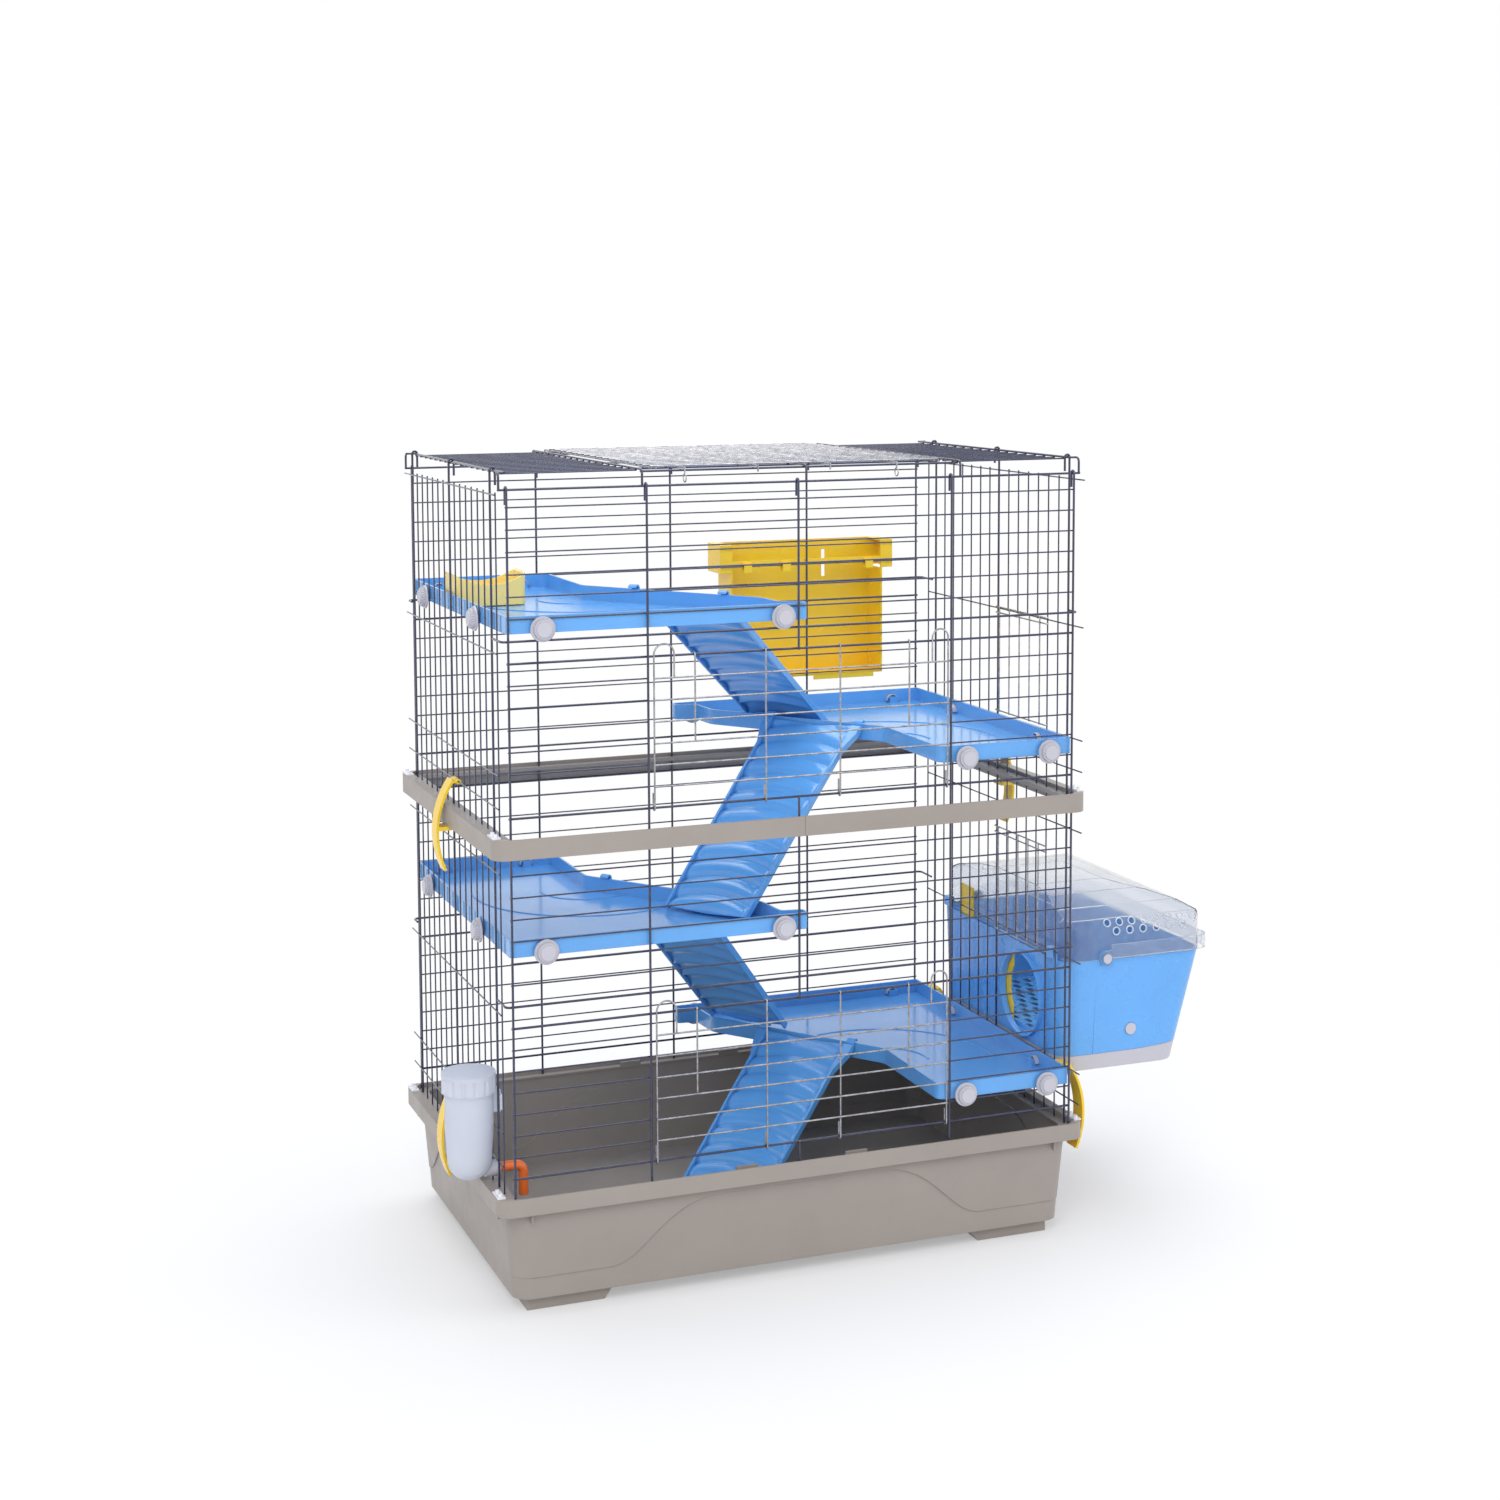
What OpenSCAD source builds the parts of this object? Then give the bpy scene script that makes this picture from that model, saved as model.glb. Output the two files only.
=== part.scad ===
/* [Tub] */
// Width of the tub over its lip
tub_w = 800; // [760:10:860]
// Depth of the tub over its lip
tub_d = 492; // [470:2:540]
// Height of the tub from the floor to its rim
tub_h = 153; // [145:1:180]
// Height of the lip round the rim
lip_h = 22; // [16:1:28]
// Wall thickness of the tub and of the collar
wall = 2.5; // [2:0.1:3.5]
// Height of the lower band, from the floor to the step in the wall
band_top = 46; // [40:1:52]
// Height of the feet
foot_h = 18; // [12:1:24]
// Length of each foot along the front
foot_l = 100; // [60:2:140]
// Depth of each foot along the side
foot_d = 44; // [30:2:60]
// How far the plain wall panels lie behind the corners
panel_recess = 3; // [1.5:0.5:4]

/* [Cage wires] */
// Diameter of the thin wires
thin_d = 2; // [1.6:0.1:2.4]
// Diameter of the thick wires
thick_d = 3; // [2.6:0.1:3.6]
// Pitch of the level wires at the front, the back and the roof
wire_pitch = 26.65; // [24:0.05:28]
// Pitch of the upright wires of the side panels
side_pitch = 28.5; // [26:0.1:30]
// Height of one storey of wires, seat to seat
storey_h = 443; // [430:1:470]
// Height of the hinge wire over the seat of its panel
hinge_rise = 29; // [26:1:32]
// Height of the top thick wire over the hinge wire
top_rise = 394; // [388:1:400]
// Distance of the wires on either side of the front doors from the middle
door_side_x = 203.5; // [180:0.5:220]
// Place of the middle upright wire of the front and back
mid_wire_x = -6; // [-20:1:20]

/* [Collar] */
// Height of the collar between the storeys
collar_h = 25; // [24:1:34]
// Gap in the seam between the two halves of the collar
seam_gap = 0.4; // [0.2:0.1:1]

/* [Roof] */
// Height of the roof wires over the top thick wire
roof_rise = 20; // [16:1:26]
// Half width of the roof lid
lid_half_w = 192; // [170:1:195]

/* [Shelves] */
// Height of the rim of a shelf
shelf_h = 21; // [18:1:26]
// Thickness of the shelf wall and floor
shelf_wall = 2.6; // [2:0.1:3.5]
// Length of the wide edge of a shelf along the cage wall
shelf_wide = 190; // [170:2:210]
// Rim of a right shelf over the rim of the tub or of the collar
right_shelf_rise = 73; // [69:1:79]
// Rim of the lower left shelf over the rim of the tub
lower_left_rise = 317; // [307:1:325]
// Rim of the upper left shelf over the rim of the collar
upper_left_rise = 267; // [261:1:273]

/* [Ramps] */
// Length of a ramp
ramp_l = 345; // [335:1:352]
// Width of a ramp
ramp_w = 132; // [110:1:140]
// Thickness of the side rails of a ramp
ramp_t = 9; // [7:0.5:11]

/* [Knobs] */
// Diameter of the flange of a knob
knob_flange_d = 31; // [29:0.5:34]
// Diameter of the grip of a knob
knob_grip_d = 25; // [20:0.5:27]
// Diameter of the stud of a knob
stud_d = 5; // [4:0.5:7]

/* [Latches] */
// Width of a latch
latch_w = 25; // [18:1:32]
// Thickness of a latch
latch_t = 3.4; // [2.6:0.2:4]

/* [Bottle] */
// Diameter of the water bottle
bottle_d = 60; // [52:1:66]
// Height of the water bottle without its lid
bottle_h = 132; // [110:1:150]
// Outer diameter of the drinking spout
spout_d = 12; // [9:0.5:14]

/* [Bowl and hay rack] */
// Width of the food bowl
bowl_w = 96; // [80:1:100]
// Depth of the food bowl
bowl_d = 62; // [50:1:80]
// Height of the food bowl at its tips
bowl_h = 44; // [36:1:52]
// Width of the hay rack
rack_w = 238; // [200:1:260]
// Depth of the hay rack
rack_d = 52; // [40:1:70]
// Height of the hay rack
rack_h = 196; // [180:1:210]

/* [Carrier] */
// Width of the carrier over its rim, away from the cage
carrier_w = 220; // [200:1:240]
// Length of the carrier over its rim, along the cage
carrier_l = 375; // [350:1:390]
// Height of the rim of the carrier over its underside
carrier_rim = 152; // [140:1:164]
// Height of the clear lid over the rim
carrier_lid_h = 78; // [60:1:90]
// Height of the base tray of the carrier
carrier_base_h = 25; // [20:1:34]
// How much narrower the carrier is at its base than at its rim
carrier_taper = 34; // [10:1:50]
// Diameter of the round entry
entry_d = 112; // [90:1:120]

/* [Fits] */
// Clearance between pieces that move or lie against each other
fit = 0.35; // [0.3:0.05:0.45]

/* [Hidden] */

// Colours
tub_colour = [0.59, 0.56, 0.54];
wire_colour = [0.17, 0.18, 0.30];
silver_colour = [0.75, 0.75, 0.77];
blue_colour = [0.36, 0.62, 0.87];
yellow_colour = [0.93, 0.75, 0.20];
pale_yellow_colour = [0.95, 0.87, 0.55];
grey_colour = [0.72, 0.71, 0.76];
white_colour = [0.90, 0.91, 0.93];
frost_colour = [0.83, 0.87, 0.93];
orange_colour = [0.90, 0.35, 0.12];

// Wire radii and the depth to which crossing wires are welded into each other
thin_r = thin_d / 2;
thick_r = thick_d / 2;
weld = 0.35;

// Gap where one bent wire is drawn as a flat part and a bent part
split_gap = 0.1;

// Half sizes of the tub and the planes of the wires
tub_x = tub_w / 2;
tub_y = tub_d / 2;
side_flange = 13;
pocket_x = tub_x - side_flange;
pocket_y = tub_y - wall;
seat_x = pocket_x - 14;
seat_y = pocket_y - 12;
wall_x = pocket_x - 6;
end_x = wall_x - thick_d;
wall_y = pocket_y - thick_r - 2;
level_y = wall_y - 2 * thick_r + weld;
thin_level_y = wall_y - thick_r - thin_r + weld;
thin_wall_x = wall_x + thick_r - thin_r;
cross_x = wall_x + thick_r + thin_r - weld;

// Heights of the seats, of the collar and of the level wires
seat_drop = 6;
seat_t = 3;
seat_z = [tub_h - seat_drop, tub_h - seat_drop + storey_h];
collar_web = 5;
collar_top = seat_z[1] + 5;
collar_bottom = collar_top - collar_h;
panel_top = [seat_z[1] - collar_web, seat_z[1] + hinge_rise + top_rise];

shelf_top_1 = tub_h + right_shelf_rise;
shelf_top_2 = tub_h + lower_left_rise;
shelf_top_3 = collar_top + right_shelf_rise;
shelf_top_4 = collar_top + upper_left_rise;

function hinge_z(s) = seat_z[s] + hinge_rise;
function level_z(s, k) = hinge_z(s) + k * wire_pitch;
function top_z(s) = hinge_z(s) + top_rise;
door_rows = 7;
last_row = 14;
roof_z = top_z(1) + roof_rise;
hook_r = thick_d + fit;
hook_tail = 18;

// Side panels: three thick uprights with six thin ones between, and a thin end
side_bay = 7 * side_pitch;
side_first = 18 - wall_y;
side_thick = [side_first, side_first + side_bay, side_first + 2 * side_bay];
side_end = side_thick[2] + 26;
side_cross_rises = [[6, 47, 195, 369], [6, 47, 195, 386]];
cross_over = 18;

// Side doors: the opening is between the second thick upright and a thin one
gate_far = side_thick[1];
gate_near = side_first + 2 * side_pitch;
gate_mid = (gate_far + gate_near) / 2;
gate_bottom = 53;
gate_h = 146;
gate_lift = 136;
gate_x = wall_x - thick_r - thin_r - fit;
gate_bar_x = gate_x - 2 * thin_r + weld;

// Carrier frame: x0 is the face beside the cage, z0 its underside
carrier_x0 = cross_x + thin_r + fit + 1.4;
carrier_z0 = hinge_z(0) + side_cross_rises[0][2] - 14 - carrier_rim;
carrier_y0 = side_first + 17;
carrier_y1 = carrier_y0 + carrier_l;
carrier_rim_z = carrier_z0 + carrier_rim;
carrier_x1 = carrier_x0 + carrier_w;
carrier_wall = 2.4;
hook_wire_z = hinge_z(0) + side_cross_rises[0][2];

// Bottle place: between the third thick upright of the left panel and its neighbour
bottle_y = -(side_thick[2] - side_pitch / 2);
bottle_z = tub_h + 4;
bottle_x = -(cross_x + thin_r + fit + bottle_d / 2);
bottle_lid_d = bottle_d + 7;
bottle_lid_h = 24;

// Knob reach outside the front wires
knob_depth = 9.5;

// The origin lies on the floor under the middle of the whole object
span_left = bottle_x - bottle_lid_d / 2;
handle_t = 3;
handle_gap = 1.8;
span_right = carrier_x1 + handle_gap + handle_t;
span_front = -(wall_y + cross_over);
span_back = wall_y + thick_r + fit + rack_d;
shift_x = -(span_left + span_right) / 2;
shift_y = -(span_front + span_back) / 2;

module place() { translate([shift_x, shift_y, 0]) children(); }

// Plane figures

module round_rect(w, d, r) {
  square([w - 2 * r, d], center = true);
  square([w, d - 2 * r], center = true);
  for (sx = [-1, 1], sy = [-1, 1])
    translate([sx * (w / 2 - r), sy * (d / 2 - r)]) circle(r = r, $fn = 40);
}

module slab(w, d, r, z, h) { translate([0, 0, z]) linear_extrude(h) round_rect(w, d, r); }

// Straight wires have eight flats

module upright(x, y, z0, z1, r) {
  translate([x, y, z0]) rotate([0, 0, 22.5]) cylinder(r = r, h = z1 - z0, $fn = 8);
}

module level_wire(x0, x1, y, z, r) {
  translate([x0, y, z]) rotate([0, 90, 0]) rotate([0, 0, 22.5]) cylinder(r = r, h = x1 - x0, $fn = 8);
}

module cross_wire(x, y0, y1, z, r) {
  translate([x, y0, z]) rotate([-90, 0, 0]) rotate([0, 0, 22.5]) cylinder(r = r, h = y1 - y0, $fn = 8);
}

module round_wire(x, y, z0, z1, r) { translate([x, y, z0]) cylinder(r = r, h = z1 - z0, $fn = 16); }

// A plane band between two radii, from one angle to another
module arc_band(r0, r1, a0, a1, sides) {
  steps = 8;
  intersection() {
    difference() {
      circle(r = r1, $fn = sides);
      circle(r = r0, $fn = sides);
    }
    polygon([[0, 0], for (i = [0:steps]) let (a = a0 + (a1 - a0) * i / steps) 1.2 * r1 * [cos(a), sin(a)]]);
  }
}

// A bend in the YZ plane, measured from +Y towards +Z
module bend_yz(x, y, z, bend_r, r, from, sweep) {
  translate([x, y, z]) rotate([90, 0, 90]) rotate([0, 0, from])
    rotate_extrude(angle = sweep, $fn = 48) translate([bend_r, 0]) circle(r = r, $fn = 16);
}

// A bend in the XZ plane, measured from +X towards +Z
module bend_xz(x, y, z, bend_r, r, from, sweep) {
  translate([x, y, z]) rotate([90, 0, 0]) rotate([0, 0, from])
    rotate_extrude(angle = sweep, $fn = 48) translate([bend_r, 0]) circle(r = r, $fn = 16);
}

// A bend in the XY plane, measured from +X towards +Y
module bend_xy(x, y, z, bend_r, r, from, sweep) {
  translate([x, y, z]) rotate([0, 0, from])
    rotate_extrude(angle = sweep, $fn = 48) translate([bend_r, 0]) circle(r = r, $fn = 16);
}

// Tub

wall_top_x = tub_x - 15;
wall_top_y = tub_y - 10;
wall_slope = 7;
corner_r = 26;
rib_in = 28;

module tub_shell(inset, z0, z1) {
  hull() {
    slab(2 * (wall_top_x - inset), 2 * (wall_top_y - inset), corner_r - inset, z1 - 0.01, 0.01);
    slab(2 * (wall_top_x - wall_slope - inset), 2 * (wall_top_y - wall_slope - inset),
      corner_r - inset, z0, 0.01);
  }
}

swoosh_z = tub_h - 31;
function swoosh(u) = (1 + cos(180 * pow(u, 1.5))) / 2;
swoosh_steps = 12;

// Outline of the sunk wall panel: flat on top, and a curve down to the step at each end
module swoosh_shape(flat, reach) {
  polygon([
    for (i = [swoosh_steps:-1:0]) let (u = i / swoosh_steps)
      [-flat - u * (reach - flat), band_top + (swoosh_z - band_top) * swoosh(u)],
    for (i = [0:swoosh_steps]) let (u = i / swoosh_steps)
      [flat + u * (reach - flat), band_top + (swoosh_z - band_top) * swoosh(u)],
    [reach, band_top - 5], [-reach, band_top - 5]]);
}

front_swoosh_flat = 95;
front_swoosh_reach = 252;
side_swoosh_flat = 45;
side_swoosh_reach = 205;

module swoosh_prisms() {
  translate([0, tub_y, 0]) rotate([90, 0, 0])
    linear_extrude(tub_d) swoosh_shape(front_swoosh_flat, front_swoosh_reach);
  translate([-tub_x, 0, 0]) rotate([90, 0, 90])
    linear_extrude(tub_w) swoosh_shape(side_swoosh_flat, side_swoosh_reach);
}

module foot(sx, sy) {
  x1 = wall_top_x - wall_slope - panel_recess - 17;
  y1 = wall_top_y - wall_slope - panel_recess - 12;
  slope = 14;
  translate([0, sy > 0 ? y1 : foot_d - y1, 0]) rotate([90, 0, 0]) linear_extrude(foot_d)
    polygon([[sx * x1, 0], [sx * x1, foot_h + 2], [sx * (x1 - foot_l - slope), foot_h + 2],
      [sx * (x1 - foot_l), 0]]);
}

module lip_ring() {
  difference() {
    slab(tub_w, tub_d, corner_r - 8, tub_h - lip_h, lip_h);
    slab(2 * pocket_x, 2 * pocket_y, corner_r - 10, tub_h - seat_drop, seat_drop + 1);
    slab(2 * seat_x, 2 * seat_y, corner_r - 12, tub_h - lip_h - 1, lip_h + 2);
    difference() {
      slab(tub_w - 2 * wall, tub_d - 2 * wall, corner_r - 10, tub_h - lip_h - 1,
        lip_h - seat_drop - seat_t + 1);
      slab(2 * wall_top_x - 2, 2 * wall_top_y - 2, corner_r - 2, tub_h - lip_h - 2, lip_h);
    }
  }
}

module lip_rib(x, y, w, d) {
  translate([x - w / 2, y - d / 2, tub_h - lip_h - 12]) cube([w, d, 16]);
}

tub_floor_z = foot_h + 4;

module tub() {
  wall_z = tub_h - seat_drop - seat_t;
  color(tub_colour) place() difference() {
    union() {
      difference() {
        tub_shell(0, band_top, wall_z);
        swoosh_prisms();
      }
      tub_shell(panel_recess, foot_h, wall_z);
      lip_ring();
      for (sx = [-1, 1], sy = [-1, 1]) foot(sx, sy);
      for (sx = [-1, 1]) {
        for (sy = [-1, 1]) lip_rib(sx * (wall_top_x - rib_in), sy * (wall_top_y + 1), wall, 8);
        for (sy = [-1, 1]) lip_rib(sx * (wall_top_x + 3), sy * (wall_top_y - rib_in), 9, wall);
      }
      for (x = [-75, 75], sy = [-1, 1])
        translate([x - 15, sy * (seat_y + wall / 2) - wall / 2, tub_h - seat_drop - 1])
          cube([30, wall, 7]);
    }
    difference() {
      tub_shell(wall, band_top + wall, wall_z + 0.02);
      swoosh_prisms();
    }
    tub_shell(panel_recess + wall, tub_floor_z, wall_z + 0.02);
  }
}

// Collar between the storeys, in two halves

collar_corner_r = 4;

module collar_ring() {
  difference() {
    slab(tub_w, tub_d, corner_r - 8, collar_bottom, collar_h);
    slab(2 * seat_x, 2 * seat_y, collar_corner_r, collar_bottom - 1, collar_h + 2);
    slab(2 * pocket_x, 2 * pocket_y, corner_r - 10, seat_z[1], collar_h);
    slab(tub_w - 2 * wall, tub_d - 2 * wall, corner_r - 10, collar_bottom - 1,
      panel_top[0] - collar_bottom + 1);
  }
}

module collar_half(side) {
  color(tub_colour) place() intersection() {
    collar_ring();
    translate([side > 0 ? seam_gap / 2 : -tub_x - 1, -tub_y - 1, collar_bottom - 1])
      cube([tub_x + 1 - seam_gap / 2, tub_d + 2, collar_h + 2]);
  }
}

module collar_left() { collar_half(-1); }
module collar_right() { collar_half(1); }

// Clips that hold the corners of the wire panels on the rim

module corner_clips() {
  clip_w = side_flange - 3;
  clip_l = 26;
  color(white_colour) place()
    for (z = [tub_h, collar_top], sx = [-1, 1], sy = [-1, 1])
      translate([sx * (tub_x - 1 - clip_w / 2), sy * (tub_y - 10 - clip_l / 2), z]) {
        translate([-clip_w / 2, -clip_l / 2, 0]) cube([clip_w, clip_l, 2.2]);
        for (dy = [-7, 7]) translate([0, dy, 1]) cylinder(d = 5, h = 4.5, $fn = 24);
      }
}

// Front and back panels

wrap_turn_r = 6;
wrap_x = cross_x + thick_r + thin_r;

// The wire under the top of a door turns round the corner and holds the side panel
module wrap_end(s, side) {
  wrap_l = side > 0 ? wall_y + side_first + 4 : wall_y - side_end + 4;
  z = level_z(s, door_rows + 1);
  bend_xy(side * (wrap_x - wrap_turn_r), -level_y + wrap_turn_r, z, wrap_turn_r, thick_r,
    side > 0 ? -90 : 180, 90);
  cross_wire(side * wrap_x, -level_y + wrap_turn_r, -wall_y + wrap_l, z, thick_r);
}

module front_wires(s, open_door, mid_x) {
  x_end = end_x + thick_r;
  straight_x = wrap_x - wrap_turn_r - split_gap;
  for (x = [-end_x, -door_side_x, door_side_x, end_x])
    upright(x, -wall_y, seat_z[s] + 0.02, panel_top[s], thick_r);
  if (open_door) {
    upright(mid_x, -wall_y, seat_z[s] + 0.02, hinge_z(s) + thick_r, thick_r);
    upright(mid_x, -wall_y, level_z(s, door_rows) - thick_r, panel_top[s], thick_r);
  } else {
    upright(mid_x, -wall_y, seat_z[s] + 0.02, panel_top[s], thick_r);
  }
  for (k = [0, door_rows]) level_wire(-x_end, x_end, -level_y, level_z(s, k), thick_r);
  level_wire(-straight_x, straight_x, -level_y, level_z(s, door_rows + 1), thick_r);
  for (side = [-1, 1]) wrap_end(s, side);
  if (s == 0) level_wire(-x_end, x_end, -level_y, top_z(s), thick_r);
  for (k = [door_rows + 2:last_row]) level_wire(-x_end, x_end, -thin_level_y, level_z(s, k), thin_r);
  for (k = [1:door_rows - 1]) {
    if (open_door) {
      level_wire(-x_end, -door_side_x + thick_r, -thin_level_y, level_z(s, k), thin_r);
      level_wire(door_side_x - thick_r, x_end, -thin_level_y, level_z(s, k), thin_r);
    } else {
      level_wire(-x_end, x_end, -thin_level_y, level_z(s, k), thin_r);
    }
  }
  if (s == 1) {
    for (x = [-end_x, -door_side_x, mid_x, door_side_x, end_x]) {
      bend_yz(x, -wall_y + hook_r, panel_top[1], hook_r, thick_r, 0, 180);
      round_wire(x, -wall_y + 2 * hook_r, panel_top[1] - hook_tail, panel_top[1], thick_r);
    }
  }
}

module front_panel_lower() { color(wire_colour) place() front_wires(0, true, mid_wire_x); }
module front_panel_upper() { color(wire_colour) place() front_wires(1, true, mid_wire_x); }
module back_panel_lower() { color(wire_colour) place() rotate(180) front_wires(0, false, -mid_wire_x); }
module back_panel_upper() { color(wire_colour) place() rotate(180) front_wires(1, false, -mid_wire_x); }

// Side panels, drawn for the right wall and turned half round for the left one

module side_wires(s, gate) {
  base = hinge_z(s);
  z0 = seat_z[s] + 0.02;
  z1 = s == 1 ? base + side_cross_rises[1][3] + 3 : panel_top[0];
  for (y = side_thick) upright(wall_x, y, z0, s == 1 ? roof_z : z1, thick_r);
  upright(thin_wall_x, side_end, z0, z1, thin_r);
  for (bay = [0, 1], i = [1:6]) {
    y = side_thick[bay] + i * side_pitch;
    if (gate && y > gate_near + 1 && y < gate_far - 1) {
      upright(thin_wall_x, y, z0, base + side_cross_rises[s][1] + thin_r, thin_r);
      upright(thin_wall_x, y, base + side_cross_rises[s][2] - thin_r, z1, thin_r);
    } else {
      upright(thin_wall_x, y, z0, z1, thin_r);
    }
  }
  for (rise = side_cross_rises[s])
    cross_wire(cross_x, -wall_y - cross_over, side_end + 2, base + rise, thin_r);
  if (s == 1) {
    for (y = side_thick) {
      bend_xz(wall_x - hook_r, y, roof_z, hook_r, thick_r, 0, 180);
      round_wire(wall_x - 2 * hook_r, y, roof_z - hook_tail, roof_z, thick_r);
    }
  }
}

module right_panel_lower() { color(wire_colour) place() side_wires(0, true); }
module right_panel_upper() { color(wire_colour) place() side_wires(1, true); }
module left_panel_lower() { color(wire_colour) place() rotate(180) side_wires(0, false); }
module left_panel_upper() { color(wire_colour) place() rotate(180) side_wires(1, false); }

// Roof panel: rails from front to back, turned down at both ends over the front and back panels

rail_x = wall_x - hook_r;
roof_edge_y = wall_y - hook_r;
roof_turn_r = 6;
jog_x = rail_x + 9;
long_rails = [-208, 217];
tie_x = 6;
roof_wire_z = roof_z - thick_r - thin_r + weld;
roof_straight = roof_edge_y - roof_turn_r;
roof_flat_y = roof_straight - split_gap;
roof_bar_y = roof_flat_y - thick_r - split_gap;
roof_bar_z = roof_z - thick_d + weld;
roof_rows = 2 * floor((roof_bar_y - thick_d) / wire_pitch);
roof_row_y = roof_rows / 2 * wire_pitch;
tie_l = 60;

module rail_end(x, sy) {
  bend_yz(x, sy * roof_straight, roof_z - roof_turn_r, roof_turn_r, thick_r,
    sy > 0 ? 0 : 90, 90);
  round_wire(x, sy * roof_edge_y, top_z(1), roof_z - roof_turn_r, thick_r);
}

// Rows of thin wires between two rails
module roof_rows_between(x0, x1) {
  for (i = [0:roof_rows])
    level_wire(x0 - thin_r, x1 + thin_r, i * wire_pitch - roof_row_y, roof_wire_z, thin_r);
}

// An end rail turns outward at both ends, beside the corner hook
module end_rail(sx) {
  cross_wire(sx * rail_x, -roof_flat_y, roof_flat_y, roof_z, thick_r);
  for (sy = [-1, 1]) {
    y = sy * (roof_flat_y - thick_r);
    level_wire(min(sx * rail_x, sx * jog_x), max(sx * rail_x, sx * jog_x), y, roof_z, thick_r - 0.1);
    cross_wire(sx * jog_x, min(y, sy * roof_flat_y), max(y, sy * roof_flat_y), roof_z, thick_r);
  }
}

module roof_panel() {
  color(wire_colour) place() {
    roof_rows_between(-rail_x, long_rails[0]);
    roof_rows_between(long_rails[1], rail_x);
    for (sx = [-1, 1]) end_rail(sx);
    for (x = long_rails) cross_wire(x, -roof_flat_y, roof_flat_y, roof_z, thick_r);
    for (sy = [-1, 1]) {
      tie_in = sy * (roof_straight - tie_l);
      tie_out = sy * roof_flat_y;
      cross_wire(tie_x, min(tie_in, tie_out), max(tie_in, tie_out), roof_z, thick_r);
      for (x = [-jog_x, long_rails[0], tie_x, long_rails[1], jog_x]) rail_end(x, sy);
      level_wire(-jog_x - thick_r, jog_x + thick_r, sy * roof_edge_y, top_z(1), thick_r);
      for (y = [roof_bar_y, roof_straight - tie_l + 5])
        level_wire(long_rails[0], long_rails[1], sy * y, roof_bar_z, thick_r);
    }
  }
}

// Roof lid: silver wires hinged round the rear cross bar of the roof

lid_r = 1.1;
lid_gap = 0.1;
lid_z = roof_z + thick_r + weld - lid_r + lid_gap;
lid_row_z = lid_z + 2 * lid_r - weld;
lid_front_y = -(roof_edge_y - 12);
lid_hinge_y = roof_bar_y;
lid_hinge_z = roof_bar_z;
lid_long_x = [-61, 35];
lid_loop_x = [-156, 125];
lid_tip_y = -(wall_y + thick_r + lid_r + 1.5);
lid_short = 18;
lid_tip_drop = 7;
lid_row_y = lid_front_y + 4;
lid_rows = floor((lid_hinge_y - lid_short - lid_row_y) / wire_pitch);
lid_nose_y = lid_tip_y + lid_r + split_gap;

module lid_loop(x) {
  ring_r = 5;
  ring_z = lid_z - 12;
  cross_wire(x, lid_nose_y, lid_front_y + 2 * wire_pitch, lid_z, lid_r);
  round_wire(x, lid_tip_y, ring_z + ring_r - 0.4, lid_z + 1, lid_r);
  translate([x, lid_tip_y, ring_z]) rotate([0, 90, 0]) rotate_extrude($fn = 32)
    translate([ring_r, 0]) circle(r = lid_r - 0.25, $fn = 16);
}

module roof_lid() {
  hinge_r = lid_z - lid_hinge_z;
  color(silver_colour) place() {
    for (x = [-lid_half_w, lid_half_w]) {
      cross_wire(x, lid_front_y, lid_hinge_y - split_gap, lid_z, lid_r);
      cross_wire(x - sign(x) * 6, lid_front_y, lid_hinge_y - lid_short, lid_z, lid_r);
    }
    for (x = lid_long_x) {
      cross_wire(x, lid_nose_y, lid_hinge_y - split_gap, lid_z, lid_r);
      round_wire(x, lid_tip_y, lid_z - lid_tip_drop, lid_z + lid_r, lid_r);
    }
    for (x = [-lid_half_w, each lid_long_x, lid_half_w])
      bend_yz(x, lid_hinge_y, lid_hinge_z, hinge_r, lid_r, -90, 180);
    for (i = [0:lid_rows])
      level_wire(-lid_half_w - lid_r, lid_half_w + lid_r, lid_row_y + i * wire_pitch, lid_row_z, lid_r);
    for (x = lid_loop_x) lid_loop(x);
  }
}

// Front doors: silver wires hinged on the lowest level wire, hooked over the one above the door

door_r = 1.1;
door_play = 0.3;
door_reach = thick_r + door_r + door_play;
door_y = -(level_y + door_reach);
door_row_y = door_y - 2 * door_r + weld;
door_long = [7.5 - door_side_x, -50, 50, door_side_x - 4.5];
door_short = [-143, 145];
door_arch_in = [door_long[0] + 26, door_long[3] - 22];
door_arch_rise = 15;
door_tail = 18;

module door_arch(x_out, x_in, z) {
  arch_r = abs(x_in - x_out) / 2;
  mid = (x_in + x_out) / 2;
  top = z + door_arch_rise - arch_r;
  bend_xz(mid, door_y, top, arch_r, door_r, 0, 180);
  round_wire(x_in, door_y, z - wire_pitch - door_r, top, door_r);
  round_wire(x_out, door_y, z - wire_pitch, top, door_r);
}

module front_door(s) {
  z0 = hinge_z(s);
  z1 = level_z(s, door_rows);
  for (x = door_long) {
    round_wire(x, door_y, z0, abs(x) > 100 ? z1 - wire_pitch : z1, door_r);
    bend_yz(x, -level_y, z0, door_reach, door_r, 180, 180);
    round_wire(x, -level_y + door_reach, z0, z0 + door_tail, door_r);
  }
  for (x = door_short)
    round_wire(x, door_y, level_z(s, 3) - door_r, z1, door_r);
  for (x = [door_short[0], door_long[1], door_long[2], door_short[1]])
    bend_yz(x, -level_y, z1, door_reach, door_r, 90, 90);
  for (k = [1:door_rows - 1])
    level_wire(door_long[0] - door_r, door_long[3] + door_r, door_row_y, level_z(s, k), door_r);
  door_arch(door_long[0], door_arch_in[0], z1);
  door_arch(door_long[3], door_arch_in[1], z1);
}

module front_door_lower() { color(silver_colour) place() front_door(0); }
module front_door_upper() { color(silver_colour) place() front_door(1); }

// Side doors: they slide up and down behind the side wires, guided round two uprights

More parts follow.
